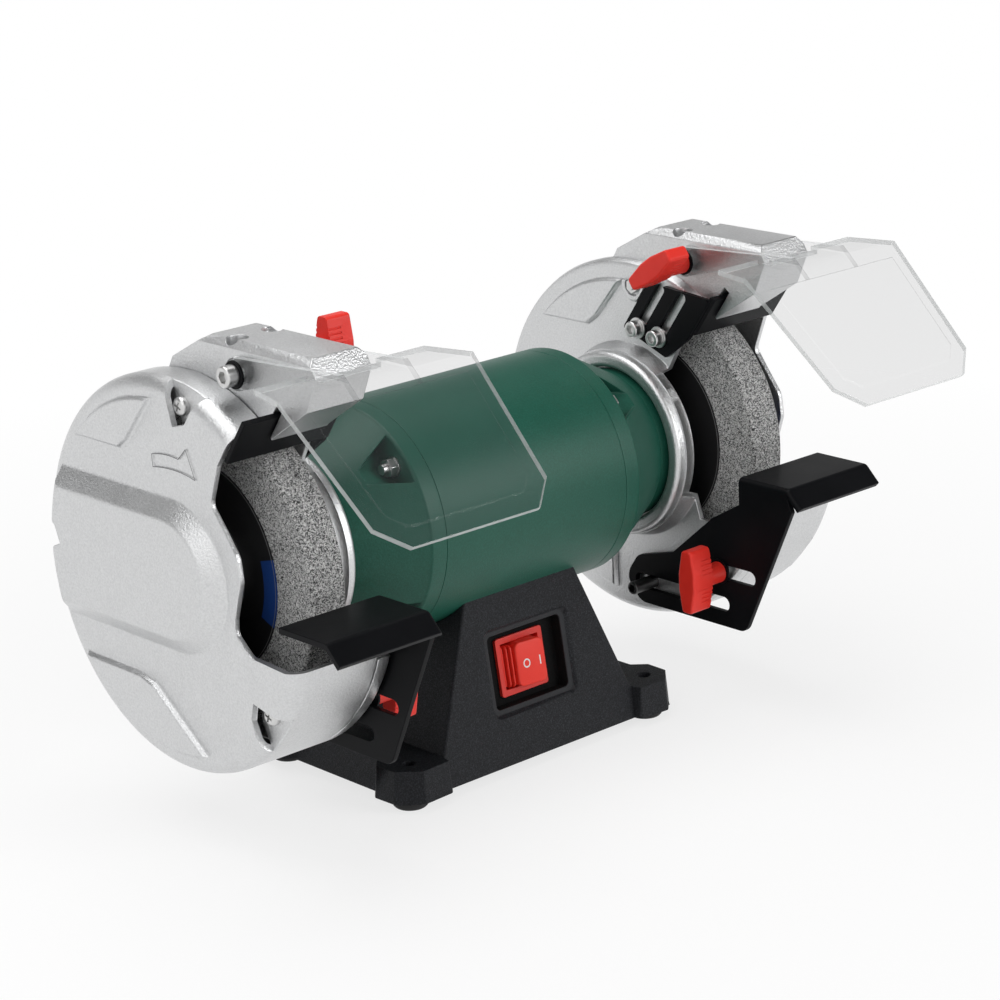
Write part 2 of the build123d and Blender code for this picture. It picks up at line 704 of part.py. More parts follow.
# Gap in the rim: the block stands in its front half, the rear half is open between the two rims.
notch = slab([(0, 0), polar(far, arrestor_angle - 2), polar(far * 1.6, 90), polar(far, slot_end_angle)],
             cover_start - 1, block_out + 0.3)
cover -= notch - rod(rim_inner - 1, cover_start - 2, cover_face)
cover -= slab(arm_outline, *arm_out)
cover -= rod(boss + 1, arm_out[0], cover_face + band_height, pivot_y, pivot_height)

for angle, spot in zip(guard_screw_angles, screw_spots):
    y, z = spot
    pocket = [polar(guard_screw_radius - 9, angle), polar(guard_screw_radius - 5, angle - 6),
              polar(far, angle - 13), polar(far, angle + 9)]
    cover -= slab(pocket, screw_seat, cover_face + 12)
    cover += slab(pocket, post_end, screw_seat) & rod(guard_radius, post_end, screw_seat)
    cover -= rod(guard_screw_diameter / 2 + 0.2, post_end - 1, screw_seat + 1, y, z)
both_ends("guard_cover", cover)

# Pan-head screws through the covers into the housings' posts.
cover_screws = []
nut_side = housing_face - guard_nut_height
stud_nut = hexagon(guard_nut_across_flats, nut_side, housing_face, *stud_spot, 90)
stud_nut += rod(guard_screw_diameter / 2, nut_side - 1, housing_face + guard_stud_length, *stud_spot)
cover_nuts = pair(stud_nut)
for y, z in screw_spots:
    head = rod(guard_screw_head_diameter / 2, screw_seat, screw_seat + guard_screw_head_height, y, z)
    head = fillet(head.edges().filter_by(GeomType.CIRCLE).sort_by(Axis.X)[-1], 2.2)
    tip = post_end - guard_screw_length + 1
    if (y, z) == through_spot:
        tip = nut_side - 1
        nut = hexagon(guard_nut_across_flats, nut_side, housing_face, y, z, 90)
        cover_nuts += pair(nut - rod(guard_screw_diameter / 2, tip - 1, housing_face + 1, y, z))
    screw = head + rod(guard_screw_diameter / 2, tip, screw_seat, y, z)
    for turn in (20, 110):
        cross = Box(3.2, 1.0, 4.6)
        screw -= Pos(screw_seat + guard_screw_head_height, y, z) * Rot(turn, 0, 0) * cross
    cover_screws += pair(screw)
parts["cover_screws"] = cover_screws
parts["cover_nuts"] = cover_nuts

# ---- Eye shields ---------------------------------------------------------------------------------

notch_half = block_width / 2 + arm_gap
level_face = make_face(Polyline(
    (-shield_rear_half_width, shield_rear_y), (-notch_half, shield_rear_y), (-notch_half, shield_rear_y - 7),
    (notch_half, shield_rear_y - 7), (notch_half, shield_rear_y), (shield_rear_half_width, shield_rear_y),
    (shield_half_width, shield_bend_y), (-shield_half_width, shield_bend_y), close=True))
level_panel = extrude(Plane.XY.offset(shield_level - shield_sheet) * level_face, amount=shield_sheet)
slope_plane = Plane(origin=(0, shield_bend_y, shield_level), x_dir=(1, 0, 0),
                    z_dir=(0, math.sin(slope), -math.cos(slope)))
lower_outline = [(-shield_half_width, 0), (shield_half_width, 0),
                 (shield_side_half_width, -shield_side_length), (shield_foot_half_width, -shield_length),
                 (-shield_foot_half_width, -shield_length), (-shield_side_half_width, -shield_side_length)]
# The sloping plane's own Y runs up the slope on some kernels and down on others; both are covered here.
if (slope_plane.y_dir.Z) < 0:
    lower_outline = [(x, -y) for x, y in lower_outline]
lower_face = make_face(Polyline(*lower_outline, close=True))
lower_panel = extrude(slope_plane * lower_face, amount=shield_sheet)
window_face = offset(lower_face, amount=-shield_rim, kind=Kind.INTERSECTION)
lower_panel += extrude(slope_plane * window_face, amount=-shield_rim_step)
shield = Pos(block_mid, 0, 0) * (level_panel + lower_panel)
for start, end in (arm_in, arm_out):
    shield += slab(arm_outline, start, end)
    shield += rod(boss, start, end, pivot_y, pivot_height)
shield -= rod(shield_bolt_diameter / 2 + 0.05, arm_in[0] - 1, arm_out[1] + 1, pivot_y, pivot_height)
both_ends("eye_shield", shield)


def socket_screw(diameter, head_diameter, head_height, face, tip, y, z, socket):
    """Cap screw along X. Its head stands on a face, outside the clamped parts."""
    out = 1 if face > tip else -1
    low, high = sorted((face, face + out * head_height))
    head = rod(head_diameter / 2, low, high, y, z)
    edge = head.edges().filter_by(GeomType.CIRCLE).sort_by(Axis.X)[-1 if out > 0 else 0]
    head = chamfer(edge, 0.6)
    socket_low, socket_high = sorted((face + out * head_height * 0.45, face + out * (head_height + 1)))
    head -= hexagon(socket, socket_low, socket_high, y, z)
    return head + rod(diameter / 2, min(tip, face), max(tip, face), y, z)


outer_washer = arm_out[1] + running_gap
knob_face = inner_washer - washer_thickness - 0.1
shield_bolt = socket_screw(shield_bolt_diameter, bolt_head_diameter, bolt_head_height,
                           outer_washer + washer_thickness, knob_face - knob_stem_length - 6,
                           pivot_y, pivot_height, bolt_socket)
parts["shield_bolts"] = pair(shield_bolt)

# ---- Spark arrestors -----------------------------------------------------------------------------

plate_out = sheet_face
plate_low = sheet_face - arrestor_sheet
front_end = cover_face - 2
side_outline = [arrestor_point(arrestor_high - 2, front_gap),
                arrestor_point(arrestor_high - 24, arrestor_width),
                arrestor_point(slot_low - 12, arrestor_width), arrestor_point(slot_low - 4, 4.0),
                arrestor_point(arrestor_low - 4, front_gap - 1)]
arrestor = slab(side_outline, plate_low, plate_out, 1.5)
front_outline = [arrestor_point(arrestor_low, front_gap - arrestor_sheet),
                 arrestor_point(arrestor_high, front_gap - arrestor_sheet),
                 arrestor_point(arrestor_high, front_gap), arrestor_point(arrestor_low, front_gap)]
arrestor += slab(front_outline, plate_low, front_end)
fold = arrestor_point((arrestor_low + arrestor_high) / 2, front_gap - arrestor_sheet)


def along_fold(edge):
    """The outer edge of the bend between the arrestor's two plates."""
    middle = edge @ 0.5
    gap = math.hypot(middle.Y - fold[0], middle.Z - fold[1])
    return abs(middle.X - plate_low) < 0.02 and gap < 3 and edge.length > arrestor_reach * 0.8


arrestor = fillet(arrestor.edges().filter_by(along_fold), arrestor_bend_radius)
slot_run = arrestor_slot_length - arrestor_slot_width
for start, row in zip(slot_starts, slot_rows):
    arrestor -= slot_bar(arrestor_slot_width, arrestor_point(start, row),
                         arrestor_point(start + slot_run, row), plate_low - 1, plate_out + 1)
both_ends("spark_arrestor", arrestor)

arrestor_washers = []
arrestor_screws = []
washer_face = plate_low - running_gap
for y, z in screw_points:
    disc = ring(arrestor_washer_diameter / 2, arrestor_screw_diameter / 2,
                washer_face - arrestor_washer_thickness, washer_face, y, z)
    arrestor_washers += pair(disc)
    screw = socket_screw(arrestor_screw_diameter, arrestor_head_diameter, arrestor_head_height,
                         washer_face - arrestor_washer_thickness, plate_in + 2, y, z, 4.0)
    arrestor_screws += pair(screw)
parts["arrestor_washers"] = arrestor_washers
parts["arrestor_screws"] = arrestor_screws

# ---- Tool rests ----------------------------------------------------------------------------------

rest_in = sheet_face - rest_sheet
lip_angle = math.radians(rest_lip_angle)
lip_end = (rest_front_y - rest_lip * math.cos(lip_angle), rest_level - rest_lip * math.sin(lip_angle))
bend = rest_sheet * math.tan(lip_angle / 2)
inner_lip = (lip_end[0] + rest_sheet * math.sin(lip_angle), lip_end[1] - rest_sheet * math.cos(lip_angle))
table = slab([(rest_back_y, rest_level), (rest_front_y, rest_level), lip_end, inner_lip,
              (rest_front_y + bend, rest_level - rest_sheet), (rest_back_y, rest_level - rest_sheet)],
             rest_in, rest_in + rest_width)
pin_rear = rest_pin_y + rest_travel_out
side_plate = slab([(rest_back_y, rest_level - rest_sheet / 2), (rest_front_y, rest_level - rest_sheet / 2),
                   (rest_front_y, rest_level - 5), (-114.5, -17.5), (-82.5, -87.5),
                   (-8.0, -87.5), (3.5, -75.5), (-6.0, -62.0), (-32.0, -55.0), (-60.0, -31.0),
                   (rest_back_y, -20.0)], rest_in, sheet_face, [0, 0, 0, 0, 6, 9, 9, 6, 8, 8, 0])
table_bends = table.edges().filter_by(Axis.X).filter_by(
    lambda edge: abs((edge @ 0.5).Y - rest_front_y) < 0.01)
table = fillet(table_bends, rest_bend_radius)
under_bends = table.edges().filter_by(Axis.X).filter_by(
    lambda edge: abs((edge @ 0.5).Y - rest_front_y - bend) < 0.01)
table = fillet(under_bends, rest_bend_radius - 2)
rest = table + side_plate
rest_fold = rest.edges().filter_by(Axis.Y).filter_by(
    lambda edge: abs((edge @ 0.5).X - rest_in) < 0.01 and abs((edge @ 0.5).Z - rest_level) < 0.01)
rest = fillet(rest_fold, rest_sheet - 0.4)
rest -= slot_bar(rest_slot_width, (rest_bolt_y - rest_travel_in, rest_upper_slot_z),
                 (rest_bolt_y + rest_travel_out, rest_upper_slot_z), rest_in - 1, sheet_face + 1)
rest -= slot_bar(rest_slot_width, (-67.5, rest_lower_slot_z), (pin_rear, rest_lower_slot_z),
                 rest_in - 1, sheet_face + 1)
both_ends("tool_rest", rest)

rest_washer = rest_in - running_gap
rest_knob_face = rest_washer - washer_thickness - 0.1
rest_bolt = rod(rest_bolt_diameter / 2, rest_knob_face - knob_stem_length - 6,
                housing_face + stud_depth, rest_bolt_y, rest_upper_slot_z)
parts["rest_studs"] = pair(rest_bolt)

guide_pin = rod(rest_pin_diameter / 2, rest_in - rest_pin_length, housing_face + stud_depth,
                rest_pin_y, rest_lower_slot_z)
guide_pin = chamfer(guide_pin.edges().filter_by(GeomType.CIRCLE).sort_by(Axis.X)[0], 0.6)
guide_pin -= hexagon(4.0, rest_in - rest_pin_length - 1, rest_in - rest_pin_length + 4,
                     rest_pin_y, rest_lower_slot_z)
parts["rest_guide_pins"] = pair(guide_pin)

clamp_washers = []
for face, y, z in ((outer_washer, pivot_y, pivot_height),
                   (inner_washer - washer_thickness, pivot_y, pivot_height),
                   (rest_washer - washer_thickness, rest_bolt_y, rest_upper_slot_z)):
    clamp_washers += pair(ring(washer_diameter / 2, shield_bolt_diameter / 2, face,
                               face + washer_thickness, y, z))
parts["clamp_washers"] = clamp_washers

# ---- Wing knobs ----------------------------------------------------------------------------------


def wing_knob(face, y, z, lean):
    """Wing knob along X whose stem starts at a face and whose grip leans from upright."""
    grip_start = face - knob_stem_length
    half = knob_grip_length / 2
    wide = knob_grip_width / 2
    tip = knob_tip_width / 2
    outline = [(-wide, -4), (-wide, 4), (-tip, half), (tip, half), (wide, 4), (wide, -4),
               (tip, -half), (-tip, -half)]
    grip = slab(outline, grip_start - knob_grip_depth, grip_start + 0.01, [6, 6, 2, 2, 6, 6, 2, 2])
    ends = grip.faces().filter_by(Axis.X)
    grip = fillet(ends.sort_by(Axis.X)[0].edges(), 1.2)
    for k in range(knob_rib_count):
        level = half - 5.5 - 2.4 * k
        cut = Box(knob_grip_depth * 0.55, 0.8, 1.1)
        for end in (-1, 1):
            edge = wide + (tip - wide) * (level - 4) / (half - 4) if level > 4 else wide
            grip -= Pos(grip_start - knob_grip_depth * 0.25, end * edge, level * end) * cut
            grip -= Pos(grip_start - knob_grip_depth * 0.25, -end * edge, level * end) * cut
    knob = grip + rod(knob_stem_diameter / 2, grip_start, face)
    knob -= rod(shield_bolt_diameter / 2 + fit_gap, grip_start - 6.5, face + 1)
    return Pos(0, y, z) * Rot(lean, 0, 0) * knob


both_ends("rest_knob", wing_knob(rest_knob_face, rest_bolt_y, rest_upper_slot_z, 0))
parts["right_shield_knob"] = wing_knob(knob_face, pivot_y, pivot_height, 90 - shield_knob_angle)
parts["left_shield_knob"] = mirror(wing_knob(knob_face, pivot_y, pivot_height, 0), about=Plane.YZ)

# Everything above is drawn about the spindle; it is lifted once, here.
lift = Pos(0, 0, shaft_height)
for name in parts:
    group = parts[name]
    parts[name] = [lift * one for one in group] if isinstance(group, list) else lift * group

# ---- Base ----------------------------------------------------------------------------------------


def frustum(half_x_low, half_y_low, low, half_x_high, half_y_high, high):
    """Block with four sloping sides."""
    bottom = Plane.XY.offset(low) * Rectangle(2 * half_x_low, 2 * half_y_low)
    top = Plane.XY.offset(high) * Rectangle(2 * half_x_high, 2 * half_y_high)
    return loft([bottom, top])


skirt_top = base_clearance + skirt_height
face_slope = (skirt_half_width - pedestal_top_half_width) / (pedestal_top - base_clearance)
side_slope = (pedestal_half_length - pedestal_top_half_length) / (pedestal_top - skirt_top)
front_at_skirt = skirt_half_width - face_slope * skirt_height
above = 5.0


def pedestal(inset, low, high):
    """The sloping pedestal, or the room inside it when it is inset by a wall."""
    def at(level):
        return (pedestal_half_length - side_slope * (level - skirt_top) - inset,
                skirt_half_width - face_slope * (level - base_clearance) - inset)
    return frustum(*at(low), low, *at(high), high)


outer_pedestal = pedestal(0, skirt_top - 0.01, pedestal_top + above)
slanted = outer_pedestal.edges().filter_by(
    lambda edge: abs(edge.tangent_at(0.5).Z) > 0.5)
outer_pedestal = fillet(slanted, base_edge_radius)
skirt = frustum(skirt_half_length, skirt_half_width, base_clearance,
                skirt_half_length - draft_shrink, front_at_skirt, skirt_top)
base = outer_pedestal + skirt
ear_x = bench_bolt_x / 2
ear_y = bench_bolt_y / 2
ear_outline = [(-20, 3.5), (-16, -13.5), (2.5, -14.5), (13.5, -4), (14, 10), (6, 18), (-10, 18)]
ear_face = make_face(FilletPolyline(*ear_outline, radius=[0, 2, 2, 2, 2, 0, 0], close=True))
for sx in (-1, 1):
    for sy in (-1, 1):
        ear = extrude(Plane.XY.offset(base_clearance) * ear_face, amount=ear_height, taper=5)
        if sx < 0:
            ear = mirror(ear, about=Plane.YZ)
        if sy > 0:
            ear = mirror(ear, about=Plane.XZ)
        base += Pos(sx * ear_x, sy * ear_y, 0) * ear

saddle = Pos(0, 0, shaft_height) * rod(motor_radius, -skirt_half_length * 2, skirt_half_length * 2)
saddle_inner = Pos(0, 0, shaft_height) * rod(motor_radius + base_wall, -200, 200)
room = pedestal(base_wall, base_clearance, pedestal_top + above) - saddle_inner
skirt_room = frustum(skirt_half_length - base_wall, skirt_half_width - base_wall, base_clearance - 1,
                     skirt_half_length - base_wall - draft_shrink, front_at_skirt - base_wall,
                     skirt_top - base_wall)
corner = frustum(14, 16, base_clearance - 2, 14, 16, skirt_top)
for sx in (-1, 1):
    for sy in (-1, 1):
        skirt_room -= Pos(sx * (ear_x + 3), sy * (ear_y + 3), 0) * corner
base -= room
base -= skirt_room

# Sloping front: local X to the right, local Y up the slope, local Z out of the face.
slope_angle = math.atan(face_slope)
recess_front_y = -(skirt_half_width - face_slope * (recess_centre_z - base_clearance))
front_plane = Plane(origin=(0, recess_front_y, recess_centre_z), x_dir=(1, 0, 0),
                    z_dir=(0, -math.cos(slope_angle), math.sin(slope_angle)))
inner_width = recess_width - 2 * recess_border
inner_height = recess_height - 2 * recess_border


def on_front(sketch, start, end):
    """Prism on the sloping front, from one depth to another (negative is into the base)."""
    return extrude(front_plane.offset(start) * sketch, amount=end - start)


recess_box = on_front(RectangleRounded(inner_width + 2 * recess_wall, inner_height + 2 * recess_wall, 4),
                      -recess_depth - recess_wall, -base_wall / 2)
base += recess_box
border_low = front_plane.offset(-recess_step) * RectangleRounded(
    recess_width - 4, recess_height - 4, 3.5)
border_high = front_plane.offset(0.2) * RectangleRounded(recess_width, recess_height, 5)
base -= loft([border_low, border_high])
base -= on_front(RectangleRounded(inner_width, inner_height, 2.5), -recess_depth, 1)
switch_hole = RectangleRounded(switch_body_width, switch_body_height, 0.5)
switch_room = recess_depth + switch_body_depth + blade_length + 1
base -= on_front(switch_hole, -switch_room, 0)

# Bench bolt holes with a socket for each foot's spigot.
for sx in (-1, 1):
    for sy in (-1, 1):
        spot = Pos(sx * ear_x, sy * ear_y, 0)
        base -= spot * Cylinder(bench_bolt_hole / 2, 80)
        base -= spot * Pos(0, 0, base_clearance) * Cylinder(
            foot_spigot_diameter / 2, foot_spigot_length, align=(Align.CENTER, Align.CENTER, Align.MIN))

# Cable inlet in the rear wall.
rear_y = skirt_half_width - face_slope * (gland_z - base_clearance)
rear_plane = Plane(origin=(gland_x, rear_y, gland_z), x_dir=(-1, 0, 0),
                   z_dir=(0, math.cos(slope_angle), math.sin(slope_angle)))
gland_neck = gland_diameter / 2 - 4
base -= extrude(rear_plane.offset(-base_wall - 3) * Circle(gland_neck), amount=base_wall + 5)

# Screws up through the saddle into the motor tube, and bosses for the bottom plate.
mount_spots = [-mount_screw_spacing / 2, mount_screw_spacing / 2]
tube_bottom = shaft_height - motor_radius
for x in mount_spots:
    base -= Pos(x, 0, tube_bottom - 5) * Cylinder(mount_screw_diameter / 2, 12)
plate_z = base_clearance + 1.0
post_x = pedestal_half_length - 4
post_y = 30.0
post_low = plate_z + bottom_plate_thickness
post_radius = 5.0
for sx in (-1, 1):
    for sy in (-1, 1):
        length = skirt_top - post_low
        post = Pos(sx * post_x, sy * post_y, post_low + length / 2) * Cylinder(post_radius, length)
        hole = Pos(sx * post_x, sy * post_y, post_low + 5) * Cylinder(plate_screw_diameter / 2, 10.001)
        base += post
        base -= hole
base -= saddle
parts["base"] = base

tube = parts["motor_tube"]
for x in mount_spots:
    tube -= Pos(x, 0, tube_bottom + 2) * Cylinder(mount_screw_diameter / 2, 8)
parts["motor_tube"] = tube
mount_screws = []
for x in mount_spots:
    head = Pos(x, 0, tube_bottom - base_wall) * Cylinder(
        mount_screw_diameter * 0.8, 4, align=(Align.CENTER, Align.CENTER, Align.MAX))
    shank = Pos(x, 0, tube_bottom - base_wall) * Cylinder(
        mount_screw_diameter / 2, base_wall + tube_wall, align=(Align.CENTER, Align.CENTER, Align.MIN))
    mount_screws.append(head + shank)
parts["motor_mount_screws"] = mount_screws

plate = Pos(0, 0, plate_z + bottom_plate_thickness / 2) * Box(
    2 * (skirt_half_length - base_wall - 1.5), 2 * (skirt_half_width - base_wall - 1.5),
    bottom_plate_thickness)
corner_cut = Box(36, 38, 20)
for sx in (-1, 1):
    for sy in (-1, 1):
        plate -= Pos(sx * (ear_x + 5), sy * (ear_y + 5), plate_z) * corner_cut
        plate -= Pos(sx * post_x, sy * post_y, plate_z) * Cylinder(plate_screw_diameter / 2 + 0.3, 10)
parts["bottom_plate"] = plate

plate_screws = []
for sx in (-1, 1):
    for sy in (-1, 1):
        head = Pos(0, 0, plate_z) * Cylinder(plate_screw_diameter * 0.9, 0.9,
                                             align=(Align.CENTER, Align.CENTER, Align.MAX))
        shank = Pos(0, 0, plate_z) * Cylinder(plate_screw_diameter / 2, 9,
                                              align=(Align.CENTER, Align.CENTER, Align.MIN))
        plate_screws.append(Pos(sx * post_x, sy * post_y, 0) * (head + shank))
parts["bottom_plate_screws"] = plate_screws

foot_profile = make_face(Polyline(
    (bench_bolt_hole / 2, 0), (foot_diameter / 2 - 1.2, 0), (foot_diameter / 2, 1.2),
    (foot_diameter / 2, base_clearance), (foot_spigot_diameter / 2, base_clearance),
    (foot_spigot_diameter / 2, base_clearance + foot_spigot_length),
    (bench_bolt_hole / 2, base_clearance + foot_spigot_length), close=True))
foot = revolve(Plane.XZ * foot_profile, Axis.Z)
parts["rubber_feet"] = [Pos(sx * ear_x, sy * ear_y, 0) * foot for sx in (-1, 1) for sy in (-1, 1)]

# ---- Switch --------------------------------------------------------------------------------------

bezel_back = -recess_depth
bezel_front = bezel_back + bezel_thickness
well_floor = bezel_front - switch_well
switch_body = on_front(RectangleRounded(bezel_width, bezel_height, 1.5), bezel_back, bezel_front)
switch_body += on_front(RectangleRounded(switch_body_width - 0.4, switch_body_height - 0.4, 0.5),
                        bezel_back - switch_body_depth, bezel_back)
switch_body -= on_front(Rectangle(rocker_width + 0.5, rocker_height + 0.5), well_floor, bezel_front + 1)
for column in (-7.0, 7.0):
    for row in (-6.0, 6.0):
        blade = Pos(column, row) * Rectangle(terminal_width, 0.8)
        blade_end = bezel_back - switch_body_depth
        switch_body += on_front(blade, blade_end - blade_length, blade_end)
parts["switch_body"] = switch_body

# Rocker: round sides about its axle, which runs up the slope, and a face with a shallow dip.
# It rests with its left half pressed.
half = rocker_width / 2
axle_depth = well_floor + 3.8
shoulder = math.radians(rocker_side_angle)
hem = math.radians(-6.0)
side_x = half * math.cos(shoulder)
side_z = half * math.sin(shoulder)
hem_x = half * math.cos(hem)
hem_z = half * math.sin(hem)
rocker_face = make_face([
    ThreePointArc((hem_x, hem_z), (half, 0.0), (side_x, side_z)),
    ThreePointArc((side_x, side_z), (0, side_z - rocker_dip), (-side_x, side_z)),
    ThreePointArc((-side_x, side_z), (-half, 0.0), (-hem_x, hem_z)),
    Polyline((-hem_x, hem_z), (0, hem_z - 0.8), (hem_x, hem_z)),
])
axle_point = front_plane.origin + front_plane.z_dir * axle_depth
side_view = Plane(origin=axle_point, x_dir=(1, 0, 0), z_dir=-front_plane.y_dir)
rocker = extrude(side_view * (Rot(0, 0, rocker_tilt) * rocker_face), amount=rocker_height / 2, both=True)
parts["switch_rocker"] = rocker

# ---- Inside the base and the cable inlet ---------------------------------------------------------

cap_y = 22.0
plate_top = plate_z + bottom_plate_thickness
cap_z = plate_top + capacitor_diameter / 2 + clamp_thickness
low_x = -capacitor_length / 2
capacitor = Pos(0, cap_y, cap_z) * rod(capacitor_diameter / 2, low_x, -low_x)
capacitor += Pos(0, cap_y, cap_z) * rod(4, -low_x, -low_x + 3)
for side in (-2.4, 2.4):
    capacitor += Pos(-low_x + 6, cap_y + side, cap_z) * Box(8, 0.8, 6)
parts["capacitor"] = capacitor

strap = Pos(0, cap_y, cap_z) * ring(capacitor_diameter / 2 + clamp_thickness, capacitor_diameter / 2,
                                    -clamp_width / 2, clamp_width / 2)
foot_y = capacitor_diameter / 2 + 7
strap += Pos(0, cap_y, plate_top + clamp_thickness / 2) * Box(clamp_width, 2 * foot_y, clamp_thickness)
strap -= Pos(0, cap_y, cap_z) * rod(capacitor_diameter / 2, -clamp_width, clamp_width)
parts["capacitor_clamp"] = strap

tb_x, tb_y, tb_z = terminal_block_size
terminal = Pos(-40, -14, plate_top + tb_z / 2) * Box(tb_y, tb_x, tb_z)
for k in range(3):
    terminal -= Pos(-40, -24 + 10 * k, plate_top + tb_z) * Cylinder(2.5, 8)
parts["terminal_block"] = terminal

gland = extrude(rear_plane * Circle(gland_diameter / 2), amount=3)
gland += loft([rear_plane.offset(3) * Circle(gland_diameter / 2 - 2),
               rear_plane.offset(3 + gland_length) * Circle(gland_diameter / 2 - 4.5)])
gland += extrude(rear_plane.offset(-base_wall - 3) * Circle(gland_neck), amount=base_wall + 3.01)
gland -= extrude(rear_plane.offset(-base_wall - 6) * Circle(gland_bore / 2), amount=60)
parts["cable_gland"] = gland

# ---- Write the pieces ----------------------------------------------------------------------------

os.makedirs("parts", exist_ok=True)
for name, shape in parts.items():
    solids = []
    for one in shape if isinstance(shape, list) else [shape]:
        solids += one.solids()
    export_step(Compound(children=solids), f"parts/{name}.step")
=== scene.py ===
import math

import bmesh
import bpy
from mathutils import Matrix, Vector
from mathutils.bvhtree import BVHTree
from mathutils.kdtree import KDTree


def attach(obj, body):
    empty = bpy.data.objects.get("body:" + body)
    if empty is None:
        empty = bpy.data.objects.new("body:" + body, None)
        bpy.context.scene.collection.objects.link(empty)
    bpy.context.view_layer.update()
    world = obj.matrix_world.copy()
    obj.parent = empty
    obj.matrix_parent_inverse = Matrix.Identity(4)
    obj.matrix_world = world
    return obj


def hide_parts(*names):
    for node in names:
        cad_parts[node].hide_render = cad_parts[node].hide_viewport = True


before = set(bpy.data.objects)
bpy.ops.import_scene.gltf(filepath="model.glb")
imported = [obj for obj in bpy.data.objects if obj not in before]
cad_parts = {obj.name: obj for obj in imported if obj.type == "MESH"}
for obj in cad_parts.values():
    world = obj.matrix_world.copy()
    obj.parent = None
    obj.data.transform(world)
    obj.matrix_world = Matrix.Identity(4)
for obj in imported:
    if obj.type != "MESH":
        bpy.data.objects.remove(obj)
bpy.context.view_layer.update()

# ---- Camera --------------------------------------------------------------------------------------
# Looks at the grinder from its front left and a little above it, through a long lens. It leans
# slightly to one side.

camera_place = Vector((-0.91664, -1.04381, 0.54914))
camera_turn = math.radians(47.87)       # of the view, from +X towards +Y
camera_dip = math.radians(17.02)
camera_roll = math.radians(-2.33)
camera_lens = 105.515

forward = Vector((math.cos(camera_turn) * math.cos(camera_dip),
                  math.sin(camera_turn) * math.cos(camera_dip), -math.sin(camera_dip)))
level = Vector((math.sin(camera_turn), -math.cos(camera_turn), 0.0))
upright = level.cross(forward)
right = level * math.cos(camera_roll) + upright * math.sin(camera_roll)
up = upright * math.cos(camera_roll) - level * math.sin(camera_roll)
camera_data = bpy.data.cameras.new("camera")
camera_data.lens = camera_lens
camera_data.sensor_width = 36.0
camera_data.clip_end = 50.0
camera = bpy.data.objects.new("camera", camera_data)
camera.matrix_world = Matrix((
    (right.x, up.x, -forward.x, camera_place.x),
    (right.y, up.y, -forward.y, camera_place.y),
    (right.z, up.z, -forward.z, camera_place.z),
    (0.0, 0.0, 0.0, 1.0),
))
bpy.context.scene.collection.objects.link(camera)
bpy.context.scene.camera = camera

# ---- Studio --------------------------------------------------------------------------------------
# A pale matt floor with no edge in view, and wide soft boxes above, at the left and at the front
# right. The white room shows behind the grinder and in its glossy parts.


class Wire:
    """One output in a finish's node tree, so that shader maths reads as plain arithmetic."""

    def __init__(self, socket):
        self.socket = socket

    def node(self, kind, settings=None, inputs=None, output=0):
        """Adds any node: its settings first, then values or wires for its sockets."""
        made = self.socket.id_data.nodes.new(kind)
        for key, value in (settings or {}).items():
            setattr(made, key, value)
        for key, value in (inputs or {}).items():
            if isinstance(value, Wire):
                self.socket.id_data.links.new(value.socket, made.inputs[key])
            else:
                made.inputs[key].default_value = value
        return Wire(made.outputs[output]) if made.outputs else None

    def output(self, name):
        """Another output of the same node."""
        return Wire(self.socket.node.outputs[name])

    def maths(self, operation, first, second):
        return self.node("ShaderNodeMath", {"operation": operation}, {0: first, 1: second})

    def along(self, direction):
        """How far a point lies along a direction."""
        return self.node("ShaderNodeVectorMath", {"operation": "DOT_PRODUCT"},
                         {0: self, 1: direction}, 1)

    def __abs__(self):
        return self.node("ShaderNodeMath", {"operation": "ABSOLUTE"}, {0: self})

    def __add__(self, other):
        return self.maths("ADD", self, other)

    def __radd__(self, other):
        return self.maths("ADD", other, self)

    def __sub__(self, other):
        return self.maths("SUBTRACT", self, other)

    def __rsub__(self, other):
        return self.maths("SUBTRACT", other, self)

    def __mul__(self, other):
        return self.maths("MULTIPLY", self, other)

    def __rmul__(self, other):
        return self.maths("MULTIPLY", other, self)

    def __truediv__(self, other):
        return self.maths("DIVIDE", self, other)

    def __gt__(self, other):
        return self.maths("GREATER_THAN", self, other)

    def __lt__(self, other):
        return self.maths("LESS_THAN", self, other)


def new_tree(name):
    """A new material with an empty tree, and its object coordinates as the first wire."""
    material = bpy.data.materials.new(name)
    material.use_nodes = True
    tree = material.node_tree
    tree.nodes.clear()
    coordinates = tree.nodes.new("ShaderNodeTexCoord")
    return material, Wire(coordinates.outputs["Object"])


def ramp(value, low, high):
    """0 below one value and 1 above another, straight between them."""
    return value.node("ShaderNodeMapRange", {}, {"Value": value, "From Min": low, "From Max": high})


def shade(mask, dark, pale):
    """A colour between two, by a mask."""
    return mask.node("ShaderNodeMix", {"data_type": "RGBA"},
                     {0: mask, 6: dark if isinstance(dark, Wire) else (*dark, 1.0),
                      7: pale if isinstance(pale, Wire) else (*pale, 1.0)}, 2)


def grain(place, scale, detail=2.0, roughness=0.5):
    """Noise whose features are about 1 / scale metres wide."""
    return place.node("ShaderNodeTexNoise", {},
                      {"Vector": place, "Scale": scale, "Detail": detail, "Roughness": roughness})


def surface(material, place, inputs, height=None, depth=0.0):
    """The main shader of a material, with bumps of a depth in metres."""
    if height is not None:
        inputs = dict(inputs)
        inputs["Normal"] = place.node("ShaderNodeBump", {}, {"Height": height, "Distance": depth})
    shader = place.node("ShaderNodeBsdfPrincipled", {}, inputs)
    shader.node("ShaderNodeOutputMaterial", {}, {"Surface": shader})
    return material


near_white = 0.74       # share of plain white in the floor next to the grinder
matt_reach = 0.22       # from the middle, where the floor starts to turn to plain white
white_reach = 0.75      # and where it has turned
floor_radius = 6.0
floor_corners = 64


